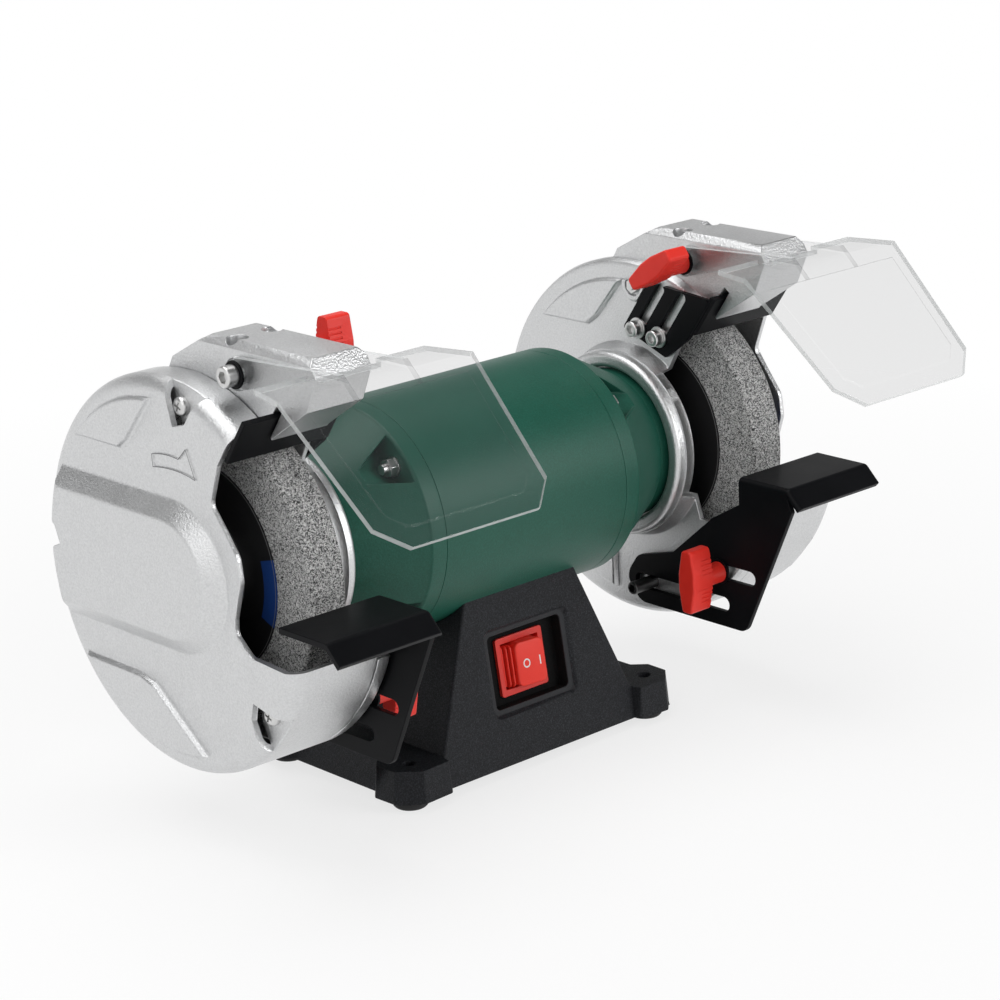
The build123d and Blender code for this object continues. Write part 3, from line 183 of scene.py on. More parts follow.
def floor_finish():
    """Matt white floor that turns to plain white away from the grinder, like the room behind it."""
    material, place = new_tree("studio_floor")
    matt = place.node("ShaderNodeBsdfDiffuse", {}, {"Color": (0.93, 0.93, 0.93, 1.0)})
    white = place.node("ShaderNodeEmission", {}, {"Color": (1.0, 1.0, 1.0, 1.0), "Strength": 1.0})
    path = place.node("ShaderNodeLightPath")
    seen = path.output("Is Camera Ray") + path.output("Is Transmission Ray") + path.output("Is Glossy Ray")
    distance = place.node("ShaderNodeVectorMath", {"operation": "LENGTH"}, {0: place}, 1)
    plain = ramp(distance, matt_reach, white_reach) * (1.0 - near_white) + near_white
    mixed = place.node("ShaderNodeMixShader", {}, {0: (seen > 0.5) * plain, 1: matt, 2: white})
    mixed.node("ShaderNodeOutputMaterial", {}, {"Surface": mixed})
    return material


floor_mesh = bpy.data.meshes.new("studio_floor")
floor_rim = [(floor_radius * math.cos(math.tau * k / floor_corners),
              floor_radius * math.sin(math.tau * k / floor_corners), 0.0) for k in range(floor_corners)]
floor_mesh.from_pydata(floor_rim, [], [list(range(floor_corners))])
floor_mesh.materials.append(floor_finish())
floor = bpy.data.objects.new("studio_floor", floor_mesh)
bpy.context.scene.collection.objects.link(floor)

ceiling_light = 0.08
wall_light = 0.12       # more than the ceiling, on what is matt
wall_shine = 0.90       # more than the ceiling, in what is glossy
wall_top = 0.10         # rise of the look above which the walls start to fade
ceiling_start = 0.50    # and above which there is only ceiling
world = bpy.data.worlds.new("studio_room")
world.use_nodes = True
bpy.context.scene.world = world
room_tree = world.node_tree
room_tree.nodes.clear()
room_direction = Wire(room_tree.nodes.new("ShaderNodeTexCoord").outputs["Generated"])
room_path = room_direction.node("ShaderNodeLightPath")
room_seen = room_path.output("Is Camera Ray") + room_path.output("Is Transmission Ray") > 0.5
room_gloss = room_path.output("Is Glossy Ray")
room_height = room_direction.node("ShaderNodeSeparateXYZ", {}, {0: room_direction}, 2)
walls = 1.0 - ramp(room_height, wall_top, ceiling_start)
room_level = walls * (room_gloss * (wall_shine - wall_light) + wall_light) + ceiling_light
room_level = room_seen * (1.0 - room_level) + room_level
room = room_seen.node("ShaderNodeBackground", {},
                      {"Color": (1.0, 1.0, 1.0, 1.0), "Strength": room_level})
room.node("ShaderNodeOutputWorld", {}, {"Surface": room})


def soft_box(name, place, target, width, height, power):
    """A rectangular soft lamp aimed at a point."""
    lamp = bpy.data.lights.new(name, "AREA")
    lamp.shape = "RECTANGLE"
    lamp.size = width
    lamp.size_y = height
    lamp.energy = power
    box = bpy.data.objects.new(name, lamp)
    box.location = place
    box.rotation_euler = (Vector(target) - Vector(place)).to_track_quat("-Z", "Y").to_euler()
    bpy.context.scene.collection.objects.link(box)


soft_box("top_box", (-0.1, 0.35, 1.6), (0.0, 0.0, 0.1), 1.8, 1.4, 20.0)
soft_box("left_box", (-1.5, -0.45, 1.3), (0.0, 0.0, 0.12), 1.9, 1.5, 13.0)
soft_box("front_box", (0.9, -1.95, 0.95), (0.0, 0.0, 0.12), 1.2, 1.0, 21.0)
bpy.context.scene.view_settings.view_transform = "Standard"

# ---- Base ----------------------------------------------------------------------------------------
# Cast-iron pedestal that carries the motor and the switch. Its textured black paint has a fine
# grain that glints on the edges and on the faces that look up.

seam = 4e-6                             # corners of a solid's mesh nearer than this are one
rounded_seam = 3e-6                     # and those of a rounded mesh
nearly_flat = math.radians(0.4)         # between two faces that are one
sharp_edge = math.radians(32.0)
edge_steps = 2                          # facets across a rounded edge
sliver_area = 2e-10                     # a face smaller than this can't tell how it lies
facing_alike = 0.35                     # least cosine from a rounded face to the old one beside it
rounding_tries = 6
fold_reach = 1.6                        # times the radius, from a fold to the edges left sharp


def folded_points(work, old, reach):
    """Middles and corners of the faces that lie off the old surface or turn against it."""
    points = []
    for face in work.faces:
        if face.calc_area() < sliver_area:
            continue
        middle = face.calc_center_median()
        near = old.find_nearest_range(middle, reach)
        if not near or max(face.normal.dot(hit[1]) for hit in near) < facing_alike:
            points += [middle] + [corner.co.copy() for corner in face.verts]
    return points


def broken_edges(plain, radius):
    """Rounds the sharp edges, and leaves sharp the few whose rounding would fold over itself.

    Each try finds the folds and drops the edges near them, until no fold is left.
    """
    old = BVHTree.FromBMesh(plain)
    plain.edges.ensure_lookup_table()
    chosen = [edge.index for edge in plain.edges
              if len(edge.link_faces) == 2 and edge.calc_face_angle(0.0) > sharp_edge]
    for attempt in range(rounding_tries):
        work = plain.copy()
        work.edges.ensure_lookup_table()
        bmesh.ops.bevel(work, geom=[work.edges[index] for index in chosen], offset=radius,
                        offset_type="OFFSET", segments=edge_steps, profile=0.5, affect="EDGES",
                        clamp_overlap=False, loop_slide=False)
        bmesh.ops.remove_doubles(work, verts=work.verts, dist=rounded_seam)
        bmesh.ops.dissolve_degenerate(work, edges=work.edges, dist=rounded_seam)
        split = work.copy()
        bmesh.ops.triangulate(split, faces=split.faces)
        folded = folded_points(split, old, radius)
        split.free()
        if not folded or attempt == rounding_tries - 1:
            return work
        tree = KDTree(len(folded))
        for index, point in enumerate(folded):
            tree.insert(point, index)
        tree.balance()
        kept = []
        for index in chosen:
            first, last = (corner.co for corner in plain.edges[index].verts)
            parts = max(1, int((last - first).length / radius))
            nearest_fold = min(tree.find(first.lerp(last, k / parts))[2] for k in range(parts + 1))
            if nearest_fold > fold_reach * radius:
                kept.append(index)
        chosen = kept
        work.free()


def edged(node, name, radius, finish, body):
    """A solid with its edges broken by a small radius, which stands for the plain one."""
    mesh = bpy.data.meshes.new(name)
    plain = bmesh.new()
    plain.from_mesh(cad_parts[node].data)
    bmesh.ops.remove_doubles(plain, verts=plain.verts, dist=seam)
    bmesh.ops.dissolve_degenerate(plain, edges=plain.edges, dist=seam)
    bmesh.ops.dissolve_limit(plain, angle_limit=nearly_flat, verts=plain.verts, edges=plain.edges)
    work = broken_edges(plain, radius)
    for face in work.faces:
        face.smooth = True
        face.material_index = 0
    work.to_mesh(mesh)
    work.free()
    plain.free()
    mesh.set_sharp_from_angle(angle=sharp_edge)
    piece = bpy.data.objects.new(name, mesh)
    bpy.context.scene.collection.objects.link(piece)
    even = piece.modifiers.new("even_shading", "WEIGHTED_NORMAL")
    even.keep_sharp = True
    even.weight = 50
    mesh.materials.append(finish)
    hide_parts(node)
    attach(piece, body)
    return piece


def coat(node, finish):
    """Gives a solid its finish."""
    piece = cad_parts[node]
    if not piece.material_slots:
        piece.data.materials.append(finish)
    for one in piece.material_slots:
        one.material = finish


front_lean = math.radians(9.088)        # of the base's front face, from upright
out_of_face = Vector((0.0, -math.cos(front_lean), math.sin(front_lean)))
up_the_face = Vector((0.0, math.sin(front_lean), math.cos(front_lean)))
recess_middle = Vector((0.0, -0.048642, 0.051))
recess_half_width = 0.0250
recess_half_height = 0.0193
recess_border_depth = 0.0028
border_half_width = 0.0268
border_half_height = 0.0210
border_depth = 0.0005


def textured_black():
    """Black paint with a sand-like grain. Painted shade darkens the switch's well, and painted light
    makes the frame round it paler.

    Neither patch ends behind the switch's well, so both also show on the rear wall of the base.
    """
    material, place = new_tree("textured_black")
    fine = grain(place, 1500.0, 3.0, 0.6)
    broad = grain(place, 90.0, 2.0)
    peaks = ramp(fine, 0.46, 0.68)
    colour = shade(peaks * 0.8 + broad * 0.2, (0.0060, 0.0065, 0.0078), (0.030, 0.032, 0.038))
    from_face = place.node("ShaderNodeVectorMath", {"operation": "SUBTRACT"},
                           {0: place, 1: tuple(recess_middle)})
    beside = abs(from_face.along((1.0, 0.0, 0.0)))
    above = abs(from_face.along(tuple(up_the_face)))
    sunk = from_face.along(tuple(out_of_face))
    # Painted shade: the switch recess is coloured near black for the shade inside it.
    painted_shade_in_recess = (beside < recess_half_width) * (above < recess_half_height) * (sunk < -recess_border_depth)
    # Painted light: the recess border is coloured paler for the light that it catches.
    painted_light_on_border = (beside < border_half_width) * (above < border_half_height) * (sunk < -border_depth) - painted_shade_in_recess
    colour_with_painted_light = shade(painted_light_on_border, colour, (0.030, 0.031, 0.034))
    return surface(material, place, {
        "Base Color": shade(painted_shade_in_recess, colour_with_painted_light, (0.0012, 0.0012, 0.0014)),
        "Roughness": 0.60 - 0.12 * peaks + 0.25 * painted_shade_in_recess, "Specular IOR Level": 0.20,
    }, fine + broad * 0.5, 0.00020)


black_casting = textured_black()
edged("base", "base_casting", 0.0007, black_casting, "machine")

# ---- Rubber feet ---------------------------------------------------------------------------------
# Four round feet moulded in black rubber. The spigot of each is pushed from below into a corner ear
# of the base, and the bench bolt passes through it.


def rubber():
    """Black moulded rubber with a faint bloom."""
    material, place = new_tree("black_rubber")
    cloud = grain(place, 160.0, 3.0)
    return surface(material, place, {
        "Base Color": shade(cloud, (0.008, 0.008, 0.009), (0.022, 0.022, 0.023)),
        "Roughness": 0.62 + 0.2 * cloud,
    }, cloud, 0.00008)


black_rubber = rubber()
edged("rubber_feet", "rubber_feet_moulded", 0.0004, black_rubber, "machine")

# ---- Bottom plate --------------------------------------------------------------------------------
# Plate of black painted sheet steel that closes the base from below. Four zinc-plated pan-head
# screws hold it.


def satin_black(name="satin_black_sheet"):
    """Black painted sheet steel with a satin face and faint clouding under the paint."""
    material, place = new_tree(name)
    cloud = grain(place, 45.0, 3.0)
    speck = grain(place, 1100.0, 2.0)
    return surface(material, place, {
        "Base Color": shade(cloud, (0.0024, 0.0026, 0.0034), (0.0052, 0.0056, 0.0068)),
        "Roughness": 0.38 + 0.10 * cloud, "Specular IOR Level": 0.09,
    }, speck, 0.00003)


def zinc_plate():
    """Bright zinc-plated steel with slight clouding."""
    material, place = new_tree("zinc_steel")
    cloud = grain(place, 260.0, 3.0)
    return surface(material, place, {
        "Base Color": shade(cloud, (0.52, 0.52, 0.52), (0.74, 0.74, 0.73)), "Metallic": 1.0,
        "Roughness": 0.24 + 0.16 * cloud,
    }, cloud, 0.00002)


black_sheet = satin_black()
zinc_steel = zinc_plate()
coat("bottom_plate", black_sheet)
coat("bottom_plate_screws", zinc_steel)

# ---- Parts inside the base -----------------------------------------------------------------------
# Running capacitor in a grey plastic can, held by a zinc-plated steel clamp, and a three-pole
# terminal block of pale plastic. All of them stand on the bottom plate.


def plain_finish(name, dark, pale, rough, metallic=0.0):
    """Even plastic or metal with a fine speck, as moulding and grinding leave it."""
    material, place = new_tree(name)
    cloud = grain(place, 70.0, 2.0)
    speck = grain(place, 2200.0, 1.0)
    return surface(material, place, {
        "Base Color": shade(cloud, dark, pale), "Roughness": rough + 0.08 * speck, "Metallic": metallic,
    }, speck, 0.00002)


grey_plastic = plain_finish("grey_plastic", (0.20, 0.205, 0.21), (0.26, 0.265, 0.27), 0.42)
terminal_plastic = plain_finish("terminal_plastic", (0.55, 0.54, 0.50), (0.64, 0.63, 0.59), 0.5)
coat("capacitor", grey_plastic)
coat("capacitor_clamp", zinc_steel)
coat("terminal_block", terminal_plastic)

# ---- Cable gland ---------------------------------------------------------------------------------
# Bush of black rubber in the rear wall of the base, where the mains lead enters. Its tapered
# sleeve stands out at the rear.

edged("cable_gland", "cable_gland_bush", 0.0004, black_rubber, "machine")

# ---- Switch --------------------------------------------------------------------------------------
# Snap-in rocker switch at the bottom of the framed recess: red body with a flange, and a red
# rocker marked O and I, with grip ridges down its side.


def moulded_red():
    """Red moulded plastic, half matt, with slight clouding and a little light inside."""
    material, place = new_tree("moulded_red")
    cloud = grain(place, 120.0, 2.0)
    speck = grain(place, 2600.0, 2.0)
    return surface(material, place, {
        "Base Color": shade(cloud, (0.76, 0.026, 0.016), (0.88, 0.040, 0.026)),
        "Roughness": 0.36 + 0.10 * speck, "Specular IOR Level": 0.35, "Subsurface Weight": 0.06,
        "Subsurface Radius": (0.004, 0.0008, 0.0006), "Subsurface Scale": 0.5,
    }, speck, 0.00002)


red_plastic = moulded_red()
switch_red = plain_finish("switch_red", (0.66, 0.022, 0.013), (0.74, 0.030, 0.018), 0.34)
edged("switch_body", "switch_flange_and_body", 0.0003, switch_red, "machine")

rocker_lean = math.radians(8.0)         # its left half is pressed
rocker_axle = Vector((0.0, -0.038076, 0.049310))
rocker_height = 0.0225
cap_width = 0.0172
cap_middle = 0.0022                     # right of the axle
cap_level = 0.0094                      # of its face, above the axle
cap_corner = 0.0034
cap_round = 0.0009                      # radius of the edge round its face
cap_sharp_edge = math.radians(40.0)
behind_axle = 0.0012                    # how far the cap and its ridges reach behind the axle
ridge_places = (-0.0079, -0.0097, -0.0115)
ridge_levels = (0.0082, 0.0069, 0.0054)
ridge_thickness = 0.0009
ridge_round = 0.00025
ridge_corner = 0.0024
ridge_height = rocker_height - 0.0012
web_width = 0.0062                      # of the floor that the ridges stand on
web_height = rocker_height - 0.0026
web_corner = 0.0008
web_middle = -0.0082
web_level = 0.0026
mark_depth = 0.0002                     # below the face of the cap, down to which paint shows
mark_height = 0.0046
mark_line = 0.00036                     # half the width of the printed line
ring_squeeze = 1.12                     # the ring is this much taller than it is wide
ring_middle = -0.0004
bar_middle = 0.0076

across_rocker = Vector((math.cos(rocker_lean), 0.0, 0.0)) + out_of_face * math.sin(rocker_lean)
out_of_rocker = out_of_face * math.cos(rocker_lean) - Vector((math.sin(rocker_lean), 0.0, 0.0))


def round_prism(work, width, height, corner, levels, put):
    """Prism with round corners. Each level has its inset, and put() places its points."""
    loops = []
    for inset, level in levels:
        loop = []
        radius = corner - inset
        for turn in range(4):
            for k in range(7):
                angle = math.radians(90.0 * turn + 15.0 * k)
                sign_x = 1 if turn in (0, 3) else -1
                sign_y = 1 if turn in (0, 1) else -1
                loop.append(work.verts.new(put(
                    sign_x * (width / 2 - corner) + radius * math.cos(angle),
                    sign_y * (height / 2 - corner) + radius * math.sin(angle), level)))
        loops.append(loop)
    for low, high in zip(loops, loops[1:]):
        for k in range(len(low)):
            n = (k + 1) % len(low)
            work.faces.new((low[k], low[n], high[n], high[k]))
    work.faces.new(loops[0][::-1])
    work.faces.new(loops[-1])


def on_rocker(across, up, out):
    """A point in the rocker's own directions, from its axle."""
    return rocker_axle + across_rocker * across + up_the_face * up + out_of_rocker * out


def rocker_cap():
    """The round-cornered cap, and three grip ridges on a low floor down its left side."""
    work = bmesh.new()
    cap_levels = [(0.0, -behind_axle)] + [
        (cap_round * (1 - math.cos(math.radians(t))), cap_level - cap_round * (1 - math.sin(math.radians(t))))
        for t in (0, 22, 45, 67, 90)]
    round_prism(work, cap_width, rocker_height, cap_corner, cap_levels,
                lambda x, y, level: on_rocker(cap_middle + x, y, level))
    for place, level in zip(ridge_places, ridge_levels):
        tall = level + behind_axle
        half = ridge_thickness / 2
        ridge_rows = [(ridge_round, -half), (0.0, ridge_round - half),
                      (0.0, half - ridge_round), (ridge_round, half)]
        round_prism(work, ridge_height, tall, ridge_corner, ridge_rows,
                    lambda x, y, depth: on_rocker(place - depth, x, y + level - tall / 2))
    round_prism(work, web_width, web_height, web_corner, [(0.0, -behind_axle), (0.0, web_level)],
                lambda x, y, level: on_rocker(web_middle + x, y, level))
    bmesh.ops.recalc_face_normals(work, faces=work.faces)
    for face in work.faces:
        face.smooth = True
    mesh = bpy.data.meshes.new("switch_rocker_cap")
    work.to_mesh(mesh)
    work.free()
    mesh.set_sharp_from_angle(angle=cap_sharp_edge)
    return mesh


def marked_red():
    """The rocker's red plastic, with O and I printed in white on the face of the cap."""
    material, place = new_tree("rocker_red")
    speck = grain(place, 2600.0, 2.0)
    from_axle = place.node("ShaderNodeVectorMath", {"operation": "SUBTRACT"},
                           {0: place, 1: tuple(rocker_axle)})
    across = from_axle.along(tuple(across_rocker))
    up = from_axle.along(tuple(up_the_face))
    on_face = from_axle.along(tuple(out_of_rocker)) > cap_level - mark_depth
    ring_across = (across - ring_middle) * ring_squeeze
    radius = place.node("ShaderNodeMath", {"operation": "SQRT"}, {0: ring_across * ring_across + up * up})
    ring_mark = abs(radius - (mark_height / 2 - mark_line)) < mark_line
    bar_mark = (abs(across - bar_middle) < mark_line) * (abs(up) < mark_height / 2)
    marks = ring_mark + bar_mark
    red = shade(speck, (0.84, 0.032, 0.018), (0.92, 0.044, 0.026))
    return surface(material, place, {
        "Base Color": shade(marks * on_face, red, (0.84, 0.84, 0.83)), "Roughness": 0.34 + 0.10 * speck,
        "Specular IOR Level": 0.35,
    }, speck, 0.00002)


rocker = bpy.data.objects.new("switch_rocker_cap", rocker_cap())
bpy.context.scene.collection.objects.link(rocker)
rocker.data.materials.append(marked_red())
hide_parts("switch_rocker")
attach(rocker, "rocker")

# ---- Stator and windings -------------------------------------------------------------------------
# Stack of electrical-steel laminations pressed into the motor tube, with enamelled copper windings
# that stand out at both its ends.

sheet_pitch = 0.0005                    # of the laminations


def laminated(name, dark, pale):
    """Edges of stacked electrical steel."""
    material, place = new_tree(name)
    split = place.node("ShaderNodeSeparateXYZ", {}, {0: place})
    sheets = place.node("ShaderNodeMath", {"operation": "SINE"}, {0: split * (math.tau / sheet_pitch)})
    return surface(material, place, {
        "Base Color": shade(ramp(sheets, -1.0, 1.0), dark, pale), "Metallic": 0.8, "Roughness": 0.45,
    }, sheets, 0.00003)


def enamelled_copper():
    """Lacquered copper wire, wound round the axis."""
    material, place = new_tree("copper_winding")
    cloud = grain(place, 500.0, 4.0)
    return surface(material, place, {
        "Base Color": shade(cloud, (0.30, 0.09, 0.03), (0.60, 0.22, 0.09)), "Metallic": 0.7,
        "Roughness": 0.35 + 0.2 * cloud,
    }, cloud, 0.0003)


lamination = laminated("lamination", (0.16, 0.16, 0.165), (0.30, 0.30, 0.30))
coat("stator_core", lamination)
coat("stator_windings", enamelled_copper())

# ---- Shaft, rotor and bearings -------------------------------------------------------------------
# Turned steel shaft with the squirrel-cage rotor pressed on. It runs in two sealed ball bearings,
# and a spring washer takes up their play.

turning_pitch = 0.0006                  # of the rings that the lathe leaves


def turned_steel():
    """Turned steel with fine rings round the axis."""
    material, place = new_tree("turned_steel")
    split = place.node("ShaderNodeSeparateXYZ", {}, {0: place})
    cloud = grain(place, 300.0, 2.0)
    rings = place.node("ShaderNodeMath", {"operation": "SINE"}, {0: split * (math.tau / turning_pitch)})
    return surface(material, place, {
        "Base Color": shade(cloud, (0.42, 0.42, 0.42), (0.60, 0.60, 0.59)), "Metallic": 1.0,
        "Roughness": 0.24 + 0.14 * cloud,
    }, rings, 0.00001)


machined_steel = turned_steel()
bearing_steel = plain_finish("bearing_steel", (0.40, 0.40, 0.41), (0.50, 0.50, 0.50), 0.22, 1.0)
rotor_aluminium = plain_finish("rotor_aluminium", (0.55, 0.55, 0.56), (0.68, 0.68, 0.68), 0.38, 1.0)
coat("shaft", machined_steel)
coat("rotor_core", lamination)
coat("rotor_end_rings", rotor_aluminium)
for side in ("left", "right"):
    coat(side + "_bearing", bearing_steel)
coat("preload_washer", machined_steel)

# ---- Motor housing -------------------------------------------------------------------------------
# Drawn steel tube between two die-cast end bells, pulled together by four long tie bolts whose
# heads and nuts sit in pockets. Dark green textured paint all over.


def green_paint():
    """Dark green structured paint with a soft sheen."""
    material, place = new_tree("green_paint")
    fine = grain(place, 1200.0, 3.0, 0.6)
    broad = grain(place, 60.0, 2.0)
    peaks = ramp(fine, 0.40, 0.66)
    colour = shade(peaks * 0.6 + broad * 0.4, (0.007, 0.070, 0.046), (0.014, 0.110, 0.074))
    return surface(material, place, {
        "Base Color": colour, "Roughness": 0.36 + 0.12 * fine, "Specular IOR Level": 0.34,
    }, fine + broad * 0.4, 0.00010)


green_housing = green_paint()
edged("motor_tube", "motor_tube_drawn", 0.0005, green_housing, "machine")
for side in ("left", "right"):
    edged(side + "_end_bell", side + "_end_bell_cast", 0.0006, green_housing, "machine")
edged("tie_bolts", "tie_bolts_plated", 0.0003, zinc_steel, "machine")
edged("tie_bolt_nuts", "tie_bolt_nuts_plated", 0.0003, zinc_steel, "machine")
edged("tie_bolt_washers", "tie_bolt_washers_plated", 0.0001, zinc_steel, "machine")
coat("motor_mount_screws", zinc_steel)

# ---- Inner guard castings ------------------------------------------------------------------------
# Die-cast aluminium housing behind each wheel, screwed to the end bell. It carries the tool rest,
# the spark arrestor and, in its top block, the eye shield. Silver paint over a fine cast skin.


def silver_paint():
    """Silver-grey paint over a die-cast skin, with the fine pebbling of the cast face."""
    material, place = new_tree("silver_paint")
    fine = grain(place, 1000.0, 3.0, 0.6)
    pebbles = ramp(fine, 0.30, 0.70)
    broad = grain(place, 90.0, 2.0)
    colour = shade(pebbles * 0.7 + broad * 0.3, (0.57, 0.575, 0.58), (0.73, 0.735, 0.74))
    return surface(material, place, {
        "Base Color": colour, "Metallic": 0.9, "Roughness": 0.27 + 0.10 * broad,
    }, pebbles + broad * 0.8, 0.00012)


silver_casting = silver_paint()
for side in ("left", "right"):
    edged(side + "_guard_housing", side + "_guard_housing_cast", 0.0005, silver_casting,
          "machine")
coat("housing_screws", zinc_steel)

# ---- Wheels and flanges --------------------------------------------------------------------------
# Vitrified grinding wheels of grey aluminium oxide, each with a paper disc on both faces, clamped
# between turned flanges by a hexagon nut.

spindle_height = 0.130
wheel_middle = 0.145                    # from the middle of the shaft
grit_scale = 1900.0                     # grains to the metre
label_rings = (0.0498, 0.0272)
ring_line = 0.00018                     # half the width of a printed ring
field_inner = 0.0415                    # the blue field is on the outer discs only
field_turn = math.radians(184.0)        # from the rear, over the top
field_half_angle = math.radians(19.0)


def abrasive():
    """Grey grit bonded with open pores."""
    material, place = new_tree("grey_abrasive")
    grit = place.node("ShaderNodeTexVoronoi", {"feature": "F1"}, {"Vector": place, "Scale": grit_scale})
    split = place.node("ShaderNodeSeparateXYZ", {}, {0: grit.output("Color")})
    cloud = grain(place, 700.0, 3.0, 0.6)
    mask = split * 0.75 + cloud * 0.5 - grit * 0.15
    colour = shade(ramp(mask, 0.22, 0.92), (0.035, 0.035, 0.036), (0.74, 0.74, 0.73))
    return surface(material, place, {"Base Color": colour, "Roughness": 0.85}, mask, 0.00035)


def disc_paper():
    """Black printed paper disc with thin rings and one plain blue field, and no words."""
    material, place = new_tree("label_paper")
    fibre = grain(place, 900.0, 3.0)
    from_axis = place.node("ShaderNodeVectorMath", {"operation": "MULTIPLY_ADD"},
                           {0: place, 1: (0.0, 1.0, 1.0), 2: (0.0, 0.0, -spindle_height)})
    radius = from_axis.node("ShaderNodeVectorMath", {"operation": "LENGTH"}, {0: from_axis}, 1)
    turned_to = from_axis.along((0.0, math.cos(field_turn), math.sin(field_turn))) / radius
    outer_disc = abs(place.along((1.0, 0.0, 0.0))) > wheel_middle
    field = (radius > field_inner) * (turned_to > math.cos(field_half_angle)) * outer_disc
    rings = 0.0
    for ring_radius in label_rings:
        rings = rings + (abs(radius - ring_radius) < ring_line)
    black = shade(fibre, (0.007, 0.007, 0.008), (0.014, 0.014, 0.015))
    printed = shade(field, black, (0.010, 0.050, 0.23))
    return surface(material, place, {
        "Base Color": shade(rings, printed, (0.20, 0.20, 0.20)), "Roughness": 0.42 + 0.2 * fibre,
        "Specular IOR Level": 0.3,
    }, fibre, 0.00004)


grey_abrasive = abrasive()
label_paper = disc_paper()
for side in ("left", "right"):
    edged(side + "_wheel", side + "_wheel_bonded", 0.0004, grey_abrasive, "rotor")
    coat(side + "_wheel_labels", label_paper)
    coat(side + "_inner_flange", machined_steel)
    coat(side + "_outer_flange", machined_steel)
    edged(side + "_spindle_nut", side + "_spindle_nut_plated", 0.0004, zinc_steel, "rotor")

# ---- Outer guard covers --------------------------------------------------------------------------
# Die-cast aluminium cover over the outer side of each wheel, in the same silver paint. Pan-head
# screws in its pockets hold it on the posts of the housing, with hexagon nuts on the inner side.

for side in ("left", "right"):
    edged(side + "_guard_cover", side + "_guard_cover_cast", 0.0009, silver_casting,
          "machine")
edged("cover_screws", "cover_screws_plated", 0.0002, zinc_steel, "machine")
edged("cover_nuts", "cover_nuts_plated", 0.0002, zinc_steel, "machine")

# ---- Rotation arrow ------------------------------------------------------------------------------
# Outline of a curved arrow sunk as a thin groove in the face of each cover by the casting die. It
# shows which way the wheel turns, which is down in front. A dark ribbon of painted shade
# stands for the groove.

groove_width = 0.00042
groove_lift = 0.00004                   # of the ribbon off the face
arrow_face = 0.17980                    # of the covers' flat face, from the middle of the shaft
arrow_butt = ((0.0035, 0.1885), (0.0031, 0.1826))
arrow_back = (-0.0065, 0.1910)          # pulls its upper edge into a bow
arrow_notch = (-0.0166, 0.1896)
arrow_barb = (-0.0225, 0.1952)
arrow_tip = (-0.0282, 0.1820)
arrow_belly = (-0.0140, 0.1854)         # pulls its lower edge into a bow
bow_points = 9


def bowed(start, pull, end):
    """Points of a shallow curve between two points, without the last."""
    points = []
    for k in range(bow_points):
        t = k / bow_points
        points.append(tuple((1 - t) ** 2 * a + 2 * t * (1 - t) * b + t * t * c
                            for a, b, c in zip(start, pull, end)))
    return points


def ribbon(outline, width):
    """Inner and outer loop of a closed line of a width, with mitred corners."""
    loops = ([], [])
    count = len(outline)
    for k in range(count):
        before, here, after = (Vector(outline[(k + step) % count]) for step in (-1, 0, 1))
        ahead = (after - here).normalized()
        behind = (here - before).normalized()
        middle = (ahead + behind).normalized()
        across = Vector((-middle.y, middle.x))
        reach = width / 2 / max(0.5, across.dot(Vector((-ahead.y, ahead.x))))
        for loop, side in zip(loops, (-1, 1)):
            loop.append(here + across * reach * side)
    return loops


def arrow_groove(side):
    """The ribbon of the arrow on one cover."""
    outline = (bowed(arrow_butt[0], arrow_back, arrow_notch) + [arrow_notch, arrow_barb]
               + bowed(arrow_tip, arrow_belly, arrow_butt[1]) + [arrow_butt[1]])
    loops = ribbon(outline, groove_width)
    count = len(outline)
    level = side * (arrow_face + groove_lift)
    points = [(level, y, z) for loop in loops for y, z in loop]
    faces = []
    for k in range(count):
        n = (k + 1) % count
        face = [k, n, count + n, count + k]
        faces.append(face if side > 0 else face[::-1])
    mesh = bpy.data.meshes.new("arrow_groove")
    mesh.from_pydata(points, [], faces)
    return mesh


def groove_shadow():
    """Painted shade for the shadowed bottom of a narrow groove."""
    material, place = new_tree("groove_shadow")
    fine = grain(place, 900.0, 2.0)
    return surface(material, place, {
        "Base Color": shade(fine, (0.15, 0.15, 0.155), (0.24, 0.24, 0.245)), "Metallic": 0.2,
        "Roughness": 0.6,
    })


groove_painted_shade = groove_shadow()
for side, name in ((-1, "left"), (1, "right")):
    arrow = bpy.data.objects.new(name + "_rotation_arrow", arrow_groove(side))
    bpy.context.scene.collection.objects.link(arrow)
    arrow.data.materials.append(groove_painted_shade)
    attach(arrow, "machine")

# ---- Spark arrestors -----------------------------------------------------------------------------
# Slotted plates bent from black painted sheet steel. Two socket-head screws with washers hold each
# on its housing, and the slots let it follow the wheel as that wears.

for side in ("left", "right"):
    edged(side + "_spark_arrestor", side + "_spark_arrestor_bent", 0.0004, black_sheet,
          side + "_arrestor")
edged("arrestor_screws", "arrestor_screws_plated", 0.0003, zinc_steel, "machine")
edged("arrestor_washers", "arrestor_washers_plated", 0.0001, zinc_steel, "machine")

# ---- Tool rests ----------------------------------------------------------------------------------
# Rests bent from black painted sheet steel. Each slides by its slots on a threaded stud and a turned
# guide pin in its housing, and a red wing knob clamps it.


def oiled_steel():
    """Dark oiled steel."""
    material, place = new_tree("oiled_steel")
    cloud = grain(place, 240.0, 3.0)
    return surface(material, place, {
        "Base Color": shade(cloud, (0.07, 0.07, 0.07), (0.15, 0.15, 0.15)), "Metallic": 1.0,
        "Roughness": 0.36 + 0.16 * cloud,
    }, cloud, 0.00002)


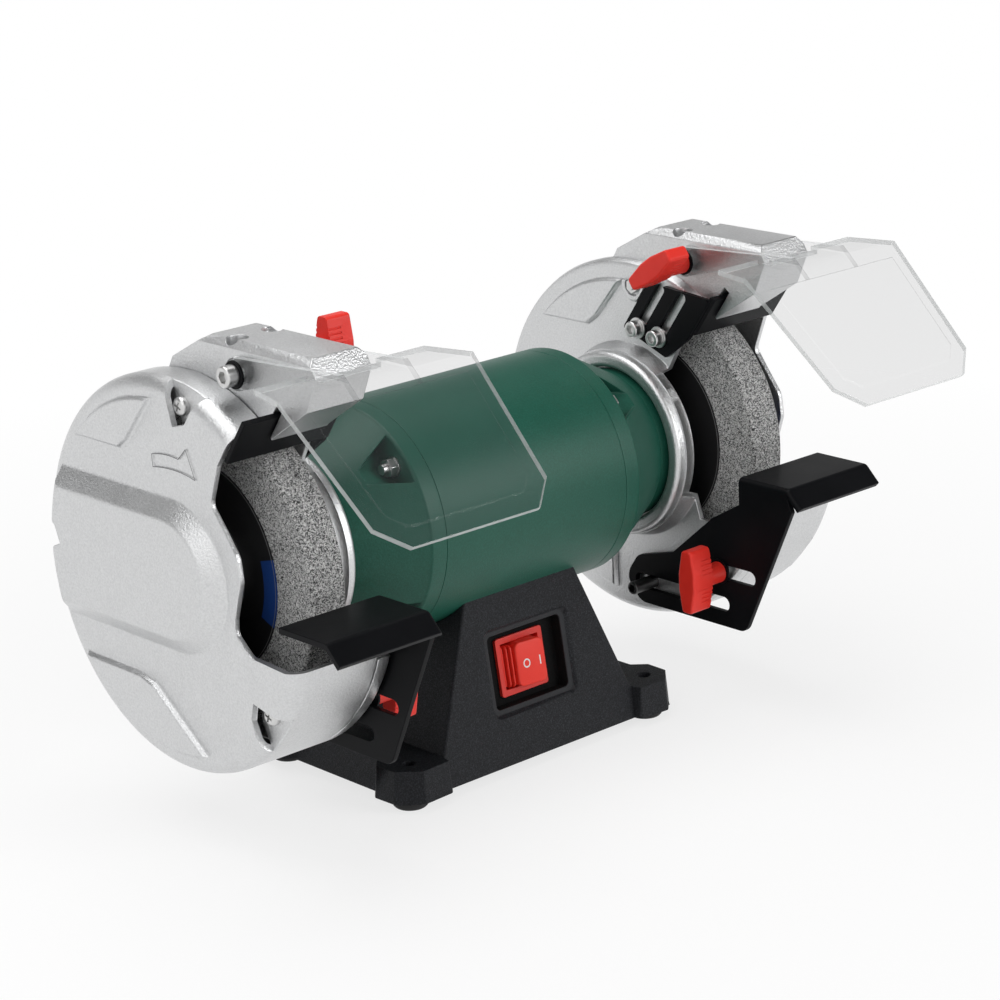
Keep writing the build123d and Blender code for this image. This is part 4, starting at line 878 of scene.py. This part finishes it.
dark_steel = oiled_steel()
for side in ("left", "right"):
    edged(side + "_tool_rest", side + "_tool_rest_bent", 0.0004, black_sheet,
          side + "_rest")
    edged(side + "_rest_knob", side + "_rest_knob_moulded", 0.0004, red_plastic,
          side + "_rest_knob_body")
edged("rest_studs", "rest_studs_plated", 0.0003, zinc_steel, "machine")
edged("rest_guide_pins", "rest_guide_pins_turned", 0.0003, dark_steel, "machine")
black_washer = satin_black("black_washer")
edged("clamp_washers", "clamp_washers_blacked", 0.0002, black_washer, "machine")

# ---- Eye shields ---------------------------------------------------------------------------------
# Shields moulded in one piece of clear polycarbonate, with a raised window and two arms. Each tilts
# on a bolt through its guard's top block, and a red wing knob clamps it.

sheet_bend = Vector((0.0, -0.114, spindle_height + 0.1065))
sheet_slope = math.radians(42.6)        # of the lower panel, below level
through_sheet = Vector((0.0, math.sin(sheet_slope), -math.cos(sheet_slope)))
arris_depth = 0.0034                    # of plastic behind a rounded arris, at least
cut_depth = 0.0052                      # and behind a cut edge
skin = 0.00005                          # a hair, to tell in front of a face from behind it


def clear_sheet():
    """Clear polycarbonate: little colour of its own, and a mirror-like face."""
    material, place = new_tree("clear_plastic")
    gloss = place.node("ShaderNodeLayerWeight", {}, {"Blend": 0.30}, 1)
    return surface(material, place, {
        "Base Color": (0.10, 0.105, 0.11, 1.0), "Roughness": 0.05, "IOR": 2.1,
        "Alpha": 0.09 + 0.30 * gloss * gloss,
    })


def cut_edge_highlight():
    """The same plastic at its thin cut edge, coloured pale and half opaque as a painted highlight."""
    material, place = new_tree("clear_plastic_cut_highlight")
    cloud = grain(place, 200.0, 2.0)
    return surface(material, place, {
        "Base Color": shade(cloud, (0.60, 0.62, 0.62), (0.78, 0.80, 0.80)), "Roughness": 0.15,
        "Alpha": 0.50 + 0.14 * cloud,
    })


def arris_highlight():
    """The rounded arris of the same plastic, near white and almost opaque: a painted highlight
    for the bright line of light that it gathers.
    """
    material, place = new_tree("clear_plastic_arris_highlight")
    cloud = grain(place, 200.0, 2.0)
    return surface(material, place, {
        "Base Color": shade(cloud, (0.80, 0.82, 0.82), (0.94, 0.96, 0.96)), "Roughness": 0.2,
        "Alpha": 0.80 + 0.18 * cloud,
    })


clear_plastic = clear_sheet()
edge_highlights = (cut_edge_highlight(), arris_highlight())
for side in ("left", "right"):
    shield = edged(side + "_eye_shield", side + "_eye_shield_moulded", 0.0004, clear_plastic,
                   side + "_shield")
    for finish in edge_highlights:
        shield.data.materials.append(finish)
    faces = shield.data.polygons
    inside = BVHTree.FromPolygons([point.co for point in shield.data.vertices],
                                  [face.vertices for face in faces])
    # Faces with much plastic behind them, at the cut edges and arrises, take the pale finishes that are
    # painted highlights; faces of the raised window's front stay clear.
    for face in faces:
        depth = inside.ray_cast(face.center - face.normal * skin, -face.normal)[3] or 0.0
        in_front = (face.center - sheet_bend).dot(through_sheet) < -skin
        raised_window = in_front and face.center.y < sheet_bend.y
        if not raised_window:
            face.material_index = 1 if depth > cut_depth else 2 if depth > arris_depth else 0
    edged(side + "_shield_knob", side + "_shield_knob_moulded", 0.0004, red_plastic,
          side + "_shield_knob_body")
edged("shield_bolts", "shield_bolts_plated", 0.0003, zinc_steel, "machine")
